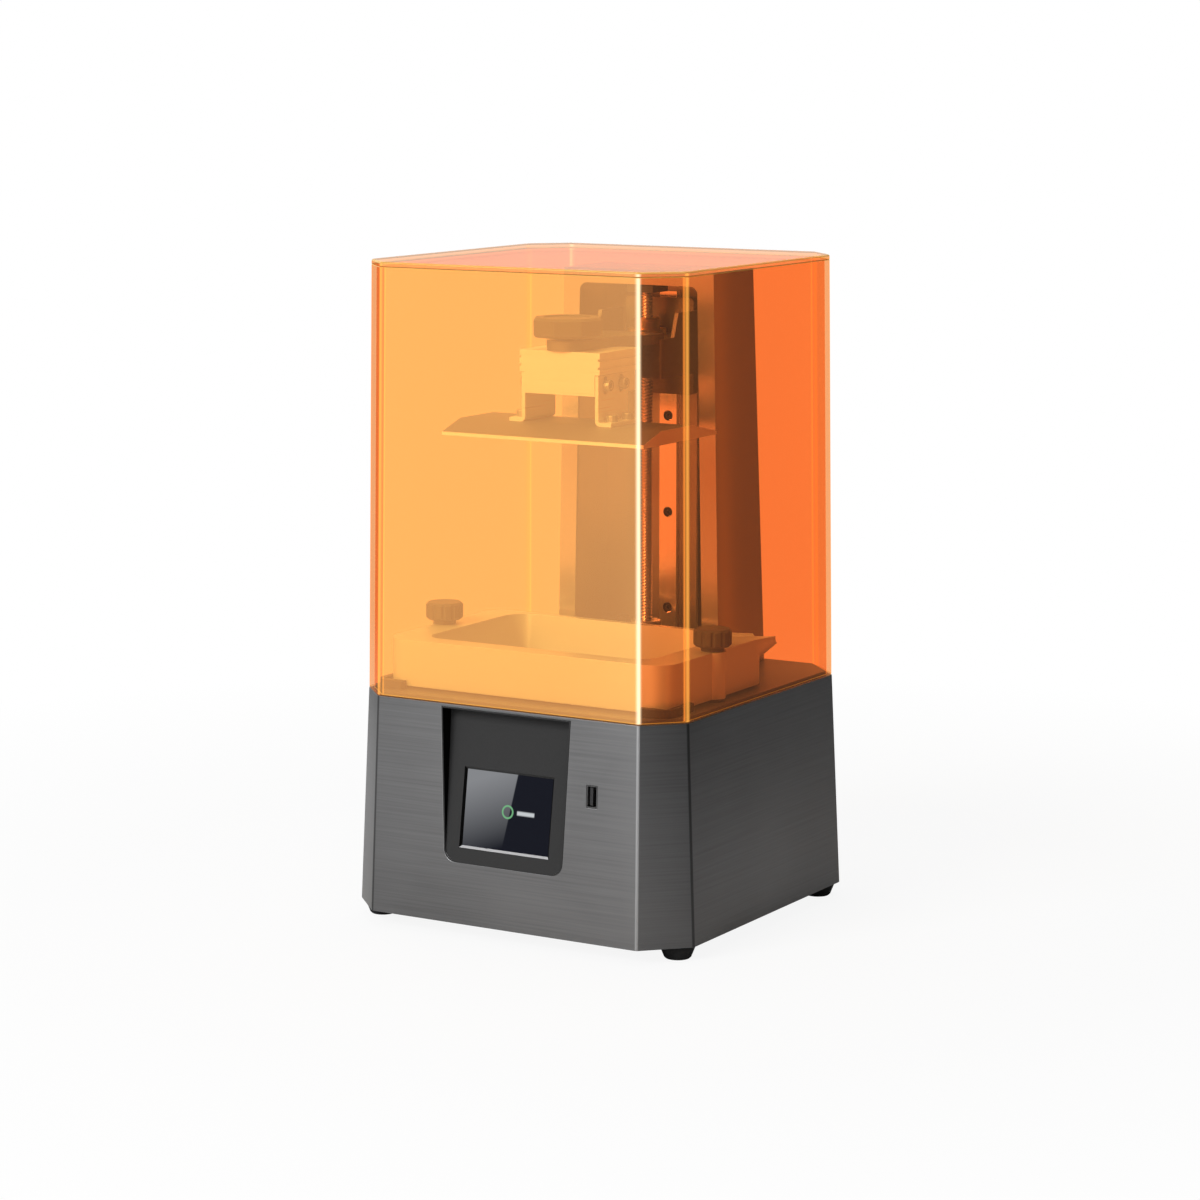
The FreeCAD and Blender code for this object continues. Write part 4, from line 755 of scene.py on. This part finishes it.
@dataclass
class Workshop:
    """The loaded frame and what every sub-assembly takes from it.

    Attributes:
        nodes: The CAD nodes by name.
        slot_of: Each node's finish.
        body_of: The body that each node rides on.
        materials: The finishes by slot.
    """

    frame: Mapping[str, Any]
    nodes: Mapping[str, bpy.types.Object] = field(init=False)
    slot_of: dict[str, str] = field(init=False)
    body_of: dict[str, str] = field(init=False)
    materials: dict[str, bpy.types.Material] = field(init=False)

    def __post_init__(self) -> None:
        """Reads each node's body and slot from the record and builds the finishes."""
        record = self.frame["record"]
        self.nodes = self.frame["nodes"]
        self.slot_of = {row["node"]: row["material_slot"] for row in record["subparts"]}
        groups = record["behaviour"]["bodies"]
        self.body_of = {node: body for body, members in groups.items() for node in members}
        self.materials = {finish.name: finish.material() for finish in FINISHES}

    def dress_nodes(self) -> None:
        """Gives every CAD node the finish of its slot."""
        for node, slot in self.slot_of.items():
            self.wear(self.nodes[node], slot)

    def wear(self, piece: bpy.types.Object, slot: str) -> None:
        """Puts one finish on a piece."""
        piece.data.materials.clear()
        piece.data.materials.append(self.materials[slot])

    def add(self, name: str, mesh: bpy.types.Mesh, body: str, slot: str, *nodes: str) -> bpy.types.Object:
        """Adds a finished mesh as a piece.

        Args:
            name: The piece's name.
            mesh: Its mesh, in place.
            body: The body that it rides on.
            slot: The finish that it wears.
            nodes: The CAD nodes that it stands for.

        Returns:
            The piece.
        """
        piece = placed(name, mesh)
        if not mesh.materials:
            self.wear(piece, slot)
        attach(piece, body)
        if nodes:
            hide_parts(*nodes)
        LOG.info("%s rides on %s, %d faces", name, body, len(mesh.polygons))
        return piece

    def soften(self, node: str, width: float, edge_slot: str = "") -> bpy.types.Object:
        """Stands a copy of a node with softened edges in the node's place.

        Args:
            node: The CAD node.
            width: Width of the softened edges in metres.
            edge_slot: Finish of the softened edges, where it isn't the piece's own.

        Returns:
            The new piece.
        """
        shell = bmesh.new()
        shell.from_mesh(self.nodes[node].data)
        bmesh.ops.remove_doubles(shell, verts=shell.verts, dist=WELD)
        bmesh.ops.dissolve_limit(
            shell, angle_limit=LEVEL, verts=shell.verts, edges=shell.edges, delimit=set())
        for face in shell.faces:
            face.smooth = True
        for edge in shell.edges:
            if edge.is_manifold and edge.calc_face_angle(0.0) > CREASE:
                edge.smooth = False
        mesh = bpy.data.meshes.new(node + "_shape")
        shell.to_mesh(mesh)
        shell.free()
        helper = placed(node + "_helper", mesh)
        bevel = helper.modifiers.new("edges", "BEVEL")
        bevel.width = width
        bevel.segments = 2
        bevel.limit_method = "ANGLE"
        bevel.angle_limit = CREASE
        bevel.harden_normals = True
        slot = self.slot_of[node]
        for finish in (slot, edge_slot or slot):
            mesh.materials.append(self.materials[finish])
        bevel.material = 1 if edge_slot else 0
        return self.add(node + "_form", settled(helper), self.body_of[node], slot, node)


def settled(helper: bpy.types.Object) -> bpy.types.Mesh:
    """Turns an object with modifiers into a plain mesh and removes the object.

    Args:
        helper: The object to evaluate.

    Returns:
        The evaluated mesh.
    """
    graph = bpy.context.evaluated_depsgraph_get()
    mesh = bpy.data.meshes.new_from_object(helper.evaluated_get(graph), depsgraph=graph)
    bpy.data.objects.remove(helper)
    return mesh


class Shape(Graph):
    """A Geometry Nodes tree with named inputs."""

    def __init__(self, name: str) -> None:
        """Starts an empty tree with one geometry output.

        Args:
            name: The tree's name.
        """
        self.group = bpy.data.node_groups.new(name, "GeometryNodeTree")
        super().__init__(self.group)
        self.group.interface.new_socket("Geometry", in_out="OUTPUT", socket_type="NodeSocketGeometry")
        self.values: dict[str, Any] = {}
        self.entry = self.tree.nodes.new("NodeGroupInput")

    def size(self, name: str, value: Any, kind: str = "NodeSocketFloat") -> Sock:
        """Adds a named input and keeps the value that it gets.

        Args:
            name: The input's name.
            value: What the modifier sets it to.
            kind: The socket's type.

        Returns:
            The input inside the tree.
        """
        item = self.group.interface.new_socket(name, in_out="INPUT", socket_type=kind)
        self.values[item.identifier] = value
        return Sock(self, self.entry.outputs[name])

    def vector(self, x: Value, y: Value, z: Value) -> Sock:
        """A vector from three values."""
        return self.add("ShaderNodeCombineXYZ", inputs={"X": x, "Y": y, "Z": z})

    def mesh(self, geometry: Sock, material: bpy.types.Material) -> bpy.types.Mesh:
        """Closes the tree, evaluates it once and hands back a plain mesh.

        Args:
            geometry: What the tree has made.
            material: The material that its faces get.

        Returns:
            The mesh.
        """
        real = self.add("GeometryNodeRealizeInstances", inputs={"Geometry": geometry})
        coat = self.size("Material", material, "NodeSocketMaterial")
        done = self.add("GeometryNodeSetMaterial", inputs={"Geometry": real, "Material": coat})
        self.tree.links.new(done.socket, self.tree.nodes.new("NodeGroupOutput").inputs[0])
        helper = placed(self.group.name, bpy.data.meshes.new(self.group.name))
        modifier = helper.modifiers.new("shape", "NODES")
        modifier.node_group = self.group
        for identifier, value in self.values.items():
            modifier[identifier] = value
        return settled(helper)


@dataclass
class Column:
    """Tower with its rail.

    Attributes:
        shop: The workshop.
        sheet_edge: Width of the folded sheet's softened edges.
        rail_edge: Width of the rail's.
    """

    shop: Workshop
    sheet_edge: float = 0.4 * MM
    rail_edge: float = 0.3 * MM

    def build(self) -> None:
        """Softens the edges of the sheet and of the rail."""
        self.shop.soften("column", self.sheet_edge)
        self.shop.soften("linear_rail", self.rail_edge)


@dataclass
class LeadScrew:
    """Threaded rod that the nut climbs on.

    Attributes:
        shop: The workshop.
        depth: Depth of the thread.
        pitch: Distance between two ridges.
        starts: Number of threads side by side.
        around: Points round the rod.
        per_ridge: Points along each ridge.
        steep: How steeply a ridge's flanks fall.
        land: What keeps a ridge's top flat.
        taper: Length over which each end closes.
    """

    shop: Workshop
    depth: float = 0.9 * MM
    pitch: float = 2.0 * MM
    starts: int = 2
    around: int = 25
    per_ridge: int = 6
    steep: float = 4.0
    land: float = 0.45
    taper: float = 1.2 * MM

    def build(self) -> None:
        """Wraps a grid round the rod's axis and cuts the thread into it."""
        low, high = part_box("lead_screw")
        length = high.z - low.z
        rows = int(length / self.pitch) * self.per_ridge + 1
        shape = Shape("lead_screw_thread")
        radius = shape.size("Radius", (high.x - low.x) / 2.0)
        depth = shape.size("Depth", self.depth)
        pitch = shape.size("Pitch", self.pitch)
        reach = shape.size("Length", length)
        grid = shape.add("GeometryNodeMeshGrid", inputs={
            "Size X": 2.0 * math.pi, "Size Y": reach, "Vertices X": self.around, "Vertices Y": rows})
        point = shape.add("GeometryNodeInputPosition")
        turn, rise = (
            shape.add("ShaderNodeSeparateXYZ", inputs={0: point}, output=name) for name in "XY")
        ridge = (rise / pitch - turn * (self.starts / (2.0 * math.pi))).maths("FRACT")
        flank = (abs(ridge - 0.5) * self.steep - self.land).clamped()
        end = (reach / 2.0 - abs(rise)) / self.taper
        full = (radius - depth * flank) * end.clamped()
        middle = (low + high) / 2.0
        wrapped = shape.vector(
            turn.maths("COSINE") * full + middle.x, turn.maths("SINE") * full + middle.y, rise + middle.z)
        bent = shape.add("GeometryNodeSetPosition", inputs={"Geometry": grid, "Position": wrapped})
        closed = shape.add("GeometryNodeMergeByDistance", inputs={"Geometry": bent, "Distance": 1e-6})
        mesh = shape.mesh(closed, self.shop.materials["rail_steel"])
        outward(mesh)
        self.shop.add("lead_screw_thread", mesh, "lead_screw_drive", "rail_steel", "lead_screw")


@dataclass(frozen=True)
class Seat:
    """Where a screw sits.

    Attributes:
        top: Middle of the head's top.
        axis: Direction that the head faces.
        length: Length of the whole screw.
        radius: Radius of the head.
    """

    top: Vector
    axis: Vector
    length: float
    radius: float


@dataclass
class Fasteners:
    """Socket-head screws that hold the platform, the rail and the motor.

    Attributes:
        shop: The workshop.
        ways: Direction that the heads of each CAD node face; None for heads that face away from the middle.
        dark: The nodes whose screws are black.
        around: Points round a head.
        head: Height of a head.
        head_share: The most of a screw's length that its head takes.
    """

    shop: Workshop
    ways: Mapping[str, Vector | None]
    dark: tuple[str, ...] = ()
    around: int = 24
    head: float = 4.0 * MM
    head_share: float = 0.6

    def build(self) -> None:
        """Puts one shape of screw on every seat of each node."""
        for node, way in self.ways.items():
            seats = self.seats(node, way)
            slot = "motor_paint" if node in self.dark else self.shop.slot_of[node]
            pattern = self.pattern(node, seats[0])
            marks = self.points(node, seats)
            shape = Shape(node + "_set")
            points = shape.size("Seats", marks, "NodeSocketObject")
            screw = shape.size("Screw", pattern, "NodeSocketObject")
            axes = shape.add(
                "GeometryNodeInputNamedAttribute", {"data_type": "FLOAT_VECTOR"}, {"Name": "axis"})
            turned = shape.add("FunctionNodeAlignRotationToVector", {"axis": "Z"}, {"Vector": axes})
            spots = shape.add("GeometryNodeObjectInfo", inputs={"Object": points}, output="Geometry")
            one = shape.add("GeometryNodeObjectInfo", inputs={"Object": screw}, output="Geometry")
            screws = shape.add("GeometryNodeInstanceOnPoints", inputs={
                "Points": spots, "Instance": one, "Rotation": turned})
            mesh = shape.mesh(screws, self.shop.materials[slot])
            for helper in (marks, pattern):
                bpy.data.objects.remove(helper)
            self.shop.add(node + "_set", mesh, self.shop.body_of[node], slot, node)

    def seats(self, node: str, way: Vector | None) -> list[Seat]:
        """Finds the screws of a CAD node by its separate shells.

        Args:
            node: The CAD node.
            way: Direction that the heads face, or None for heads that face away from the middle.

        Returns:
            One seat for each screw.
        """
        shell = bmesh.new()
        shell.from_mesh(self.shop.nodes[node].data)
        bmesh.ops.remove_doubles(shell, verts=shell.verts, dist=WELD)
        left = set(shell.verts)
        found = []
        while left:
            island = {left.pop()}
            edge = list(island)
            while edge:
                near = {link.other_vert(vert) for vert in edge for link in vert.link_edges} - island
                island |= near
                edge = list(near)
            left -= island
            low = Vector(min(vert.co[i] for vert in island) for i in range(3))
            high = Vector(max(vert.co[i] for vert in island) for i in range(3))
            middle = (low + high) / 2.0
            axis = way or Vector((math.copysign(1.0, middle.x), 0.0, 0.0))
            reach = Vector(abs(value) for value in axis)
            length = reach.dot(high - low)
            wide = max((high - low)[i] for i in range(3) if reach[i] < 0.5)
            found.append(Seat(middle + axis * (length / 2.0), axis, length, wide / 2.0))
        shell.free()
        return sorted(found, key=lambda seat: tuple(seat.top))

    def points(self, node: str, seats: Sequence[Seat]) -> bpy.types.Object:
        """Marks the seats for the screws' pattern.

        Args:
            node: The CAD node.
            seats: Where its screws sit.

        Returns:
            A helper with one point, and the way that the head faces, for each seat.
        """
        mesh = bpy.data.meshes.new(node + "_seats")
        mesh.from_pydata([seat.top for seat in seats], [], [])
        ways = mesh.attributes.new("axis", "FLOAT_VECTOR", "POINT")
        ways.data.foreach_set("vector", [value for seat in seats for value in seat.axis])
        return placed(node + "_seats", mesh)

    def pattern(self, node: str, seat: Seat) -> bpy.types.Object:
        """Turns one screw with a knurled head and a six-sided socket.

        Args:
            node: The CAD node.
            seat: The seat that gives its size.

        Returns:
            A helper with the screw's top at the origin and its axis along Z.
        """
        head = min(self.head, self.head_share * seat.length)
        # each ring's share of the head's radius, its relief (1 for six-sided) and its height
        rings = (
            (0.57, 0.0, -seat.length), (0.57, 0.0, -head), (0.95, 0.0, -head), (1.0, 0.035, -head * 0.9),
            (1.0, 0.035, -head * 0.2), (0.93, 0.0, -head * 0.05), (0.88, 0.0, 0.0), (0.56, 1.0, 0.0),
            (0.5, 1.0, -head * 0.08), (0.5, 1.0, -head * 0.55))
        shell = bmesh.new()
        rows = []
        for share, relief, height in rings:
            row = []
            for step in range(self.around):
                angle = 2.0 * math.pi * step / self.around
                sixth = (angle % (math.pi / 3.0)) - math.pi / 6.0
                flat = math.cos(math.pi / 6.0) / math.cos(sixth) if relief == 1.0 else 1.0
                notch = 1.0 - relief * (step % 2) if relief < 1.0 else 1.0
                radius = seat.radius * share * flat * notch
                row.append(shell.verts.new((radius * math.cos(angle), radius * math.sin(angle), height)))
            rows.append(row)
        for lower, upper in zip(rows, rows[1:]):
            for step in range(self.around):
                after = (step + 1) % self.around
                shell.faces.new((lower[step], lower[after], upper[after], upper[step]))
        shell.faces.new(list(reversed(rows[0])))
        shell.faces.new(rows[-1])
        mesh = bpy.data.meshes.new(node + "_screw")
        shell.to_mesh(mesh)
        shell.free()
        return placed(node + "_screw", mesh)


def outward(mesh: bpy.types.Mesh) -> None:
    """Turns a closed mesh's faces outwards and shades it smooth.

    Args:
        mesh: The mesh to change.
    """
    shell = bmesh.new()
    shell.from_mesh(mesh)
    bmesh.ops.recalc_face_normals(shell, faces=shell.faces)
    for face in shell.faces:
        face.smooth = True
    shell.to_mesh(mesh)
    shell.free()


@dataclass
class Cover:
    """Tinted hood.

    Attributes:
        shop: The workshop.
        edge: Width of the sheet's softened edges.
    """

    shop: Workshop
    edge: float = 0.4 * MM

    def build(self) -> None:
        """Softens the sheet's cut edges and gives them the painted highlight and shade of cover_edge."""
        for node in ("cover_walls", "cover_top"):
            self.shop.soften(node, self.edge, "cover_edge")


@dataclass
class Softened:
    """Pieces that only need their edges softened.

    Attributes:
        shop: The workshop.
        widths: Edge width in millimetres of each node.
        edge: Finish of the softened edges, where it isn't each piece's own.
    """

    shop: Workshop
    widths: Mapping[str, float]
    edge: str = ""

    def build(self) -> None:
        """Softens each piece in turn."""
        for node, width in self.widths.items():
            self.shop.soften(node, width * MM, self.edge)


@dataclass(frozen=True)
class Lamp:
    """Square soft lamp that points at the object.

    Attributes:
        name: The lamp's name.
        place: Where it hangs.
        power: Its power in watts.
        width: Side of its square.
        aim: The point that it looks at.
    """

    name: str
    place: tuple[float, float, float]
    power: float
    width: float
    aim: tuple[float, float, float] = (0.0, 0.0, 0.2)

    def build(self) -> None:
        """Hangs the lamp."""
        light = bpy.data.lights.new(self.name, "AREA")
        light.energy = self.power
        light.size = self.width
        lamp = placed(self.name, light)
        lamp.location = self.place
        way = Vector(self.aim) - Vector(self.place)
        lamp.rotation_euler = way.to_track_quat("-Z", "Y").to_euler()


@dataclass
class Studio:
    """Floor, lamps, surroundings and camera.

    Attributes:
        yaw: How far the camera stands to the right of the front, in degrees.
        pitch: How far it looks down, in degrees.
        lens: Focal length for a 36 mm sensor.
        eye: Place of the camera in metres.
        lamps: The soft lamps.
        half: Half of the floor's width.
        bright: Level of what mirrors show on the left.
        dim: The same on the right.
        ambient: Level of the light from all round.
        rear: Level of what mirrors show near and far behind the object.
        rear_far: Distance at which the rear counts as far.
        behind: Distance behind the object at which the rear begins.
        aside: Distance at which the floor turns dim on the right.
        sky_aside: The same for the surroundings, where 1 is full right.
        fade: Distance at which the floor turns plain white.
        washed: Share of plain white in what the camera sees of the near floor.
    """

    yaw: float = 30.92
    pitch: float = 9.26
    lens: float = 105.58
    eye: tuple[float, float, float] = (1.07481, -1.79768, 0.52919)
    lamps: tuple[Lamp, ...] = (
        Lamp("key", (-0.53, -1.98, 1.35), power=40.0, width=1.0),
        Lamp("overhead", (-0.2, 0.3, 1.9), power=12.0, width=1.2))
    half: float = 14.0
    bright: float = 1.2
    dim: float = 0.05
    ambient: float = 0.22
    rear: tuple[float, float] = (0.75, 0.1)
    rear_far: Edge = (0.9, 0.3)
    behind: Edge = (0.35, 0.25)
    aside: Edge = (0.2, 0.2)
    sky_aside: Edge = (0.15, 0.25)
    fade: Edge = (0.575, 0.225)
    washed: float = 0.9

    def build(self) -> None:
        """Sets the stage round the object."""
        self.floor()
        self.world()
        for lamp in self.lamps:
            lamp.build()
        self.camera()
        bpy.context.scene.view_settings.view_transform = "Standard"

    def rays(self, surface: Graph) -> tuple[Sock, Sock]:
        """Tells apart the ways in which the surroundings are seen.

        Args:
            surface: The node tree that asks.

        Returns:
            1 for the camera's own rays, and 1 for mirror rays and those through glass.
        """
        camera, glossy, through = (surface.add("ShaderNodeLightPath", output=name) for name in (
            "Is Camera Ray", "Is Glossy Ray", "Is Transmission Ray"))
        return camera, (glossy + through).clamped()

    def floor(self) -> None:
        """A pale floor that reads white and keeps the object's shadow."""
        mesh = bpy.data.meshes.new("floor")
        turns = ((-1.0, -1.0), (1.0, -1.0), (1.0, 1.0), (-1.0, 1.0))
        mesh.from_pydata([(x * self.half, y * self.half, 0.0) for x, y in turns], [], [(0, 1, 2, 3)])
        floor = placed("floor", mesh)
        surface = Surface("floor_white")
        matt = surface.principled(
            Base_Color=surface.mix(grey(0.8), grey(0.82), surface.noise(grey(3.0))),
            Roughness=0.8, Specular_IOR_Level=0.1)
        x, y = (surface.axis(name) for name in "XY")
        turn = math.radians(self.yaw)
        lateral = x * math.cos(turn) + y * math.sin(turn)
        depth = y * math.cos(turn) - x * math.sin(turn)
        reach = (x * x + y * y).maths("SQRT")
        camera, mirror = self.rays(surface)
        behind = depth.above(*self.behind)
        close, far = self.rear
        rear = close - reach.above(*self.rear_far) * (close - far)
        ahead = self.bright - lateral.above(*self.aside) * (self.bright - self.dim)
        level = camera + mirror * (ahead * (1.0 - behind) + behind * rear)
        white, plain = (
            surface.add("ShaderNodeEmission", inputs={"Color": colour, "Strength": 1.0})
            for colour in (level, WHITE))
        near = surface.blend(matt, plain, camera * self.washed)
        shown = reach.above(*self.fade) * (camera + mirror).clamped()
        mesh.materials.append(surface.close(surface.blend(near, white, shown)))

    def world(self) -> None:
        """Even pale surroundings that the camera sees as white."""
        world = bpy.data.worlds.new("surroundings")
        world.use_nodes = True
        bpy.context.scene.world = world
        graph = Graph(world.node_tree)
        camera, mirror = self.rays(graph)
        way = graph.add("ShaderNodeTexCoord", output="Generated")
        right = graph.add("ShaderNodeSeparateXYZ", inputs={"Vector": way}, output="X")
        level = camera + mirror * (self.bright - right.above(*self.sky_aside) * (self.bright - self.dim))
        plain = graph.add("ShaderNodeBackground", inputs={"Color": WHITE, "Strength": self.ambient})
        white = graph.add("ShaderNodeBackground", inputs={"Color": level, "Strength": 1.0})
        shown = (camera + mirror).clamped()
        both = graph.add("ShaderNodeMixShader", inputs={0: shown, 1: plain, 2: white})
        output = world.node_tree.nodes.new("ShaderNodeOutputWorld")
        graph.tree.links.new(both.socket, output.inputs["Surface"])

    def camera(self) -> None:
        """Stands the camera where the photograph was taken from."""
        data = bpy.data.cameras.new("camera")
        data.sensor_width = 36.0
        data.lens = self.lens
        camera = placed("camera", data)
        camera.location = self.eye
        camera.rotation_euler = (math.radians(90.0 - self.pitch), 0.0, math.radians(self.yaw))
        bpy.context.scene.camera = camera


def main() -> None:
    """Loads the frame and builds every sub-assembly in order."""
    logging.basicConfig(level=logging.INFO, format="%(name)s: %(message)s")
    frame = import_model()
    shop = Workshop(frame)
    shop.dress_nodes()
    Softened(shop, {
        "base_housing": 0.3, "control_panel": 0.3, "vat": 0.8, "carriage_arm": 0.4, "platform_knob": 0.4,
        "vat_knob_left": 0.25, "vat_knob_right": 0.25, "rubber_feet": 0.3, "shaft_coupler": 0.2,
    }).build()
    # their softened edges wear metal_edge, partly bare metal and partly a painted highlight
    Softened(shop, {
        "platform_block": 0.3, "build_plate": 0.4, "bracket_left": 0.35, "bracket_right": 0.35,
    }, "metal_edge").build()
    Column(shop).build()
    LeadScrew(shop).build()
    up = Vector((0.0, 0.0, 1.0))
    front = Vector((0.0, -1.0, 0.0))
    Fasteners(shop, {
        "bracket_screws": None, "plate_screws": up, "motor_screws": up, "rail_screws": front,
    }, ("rail_screws",)).build()
    Cover(shop).build()
    Studio().build()


if __name__ == "__main__":
    main()
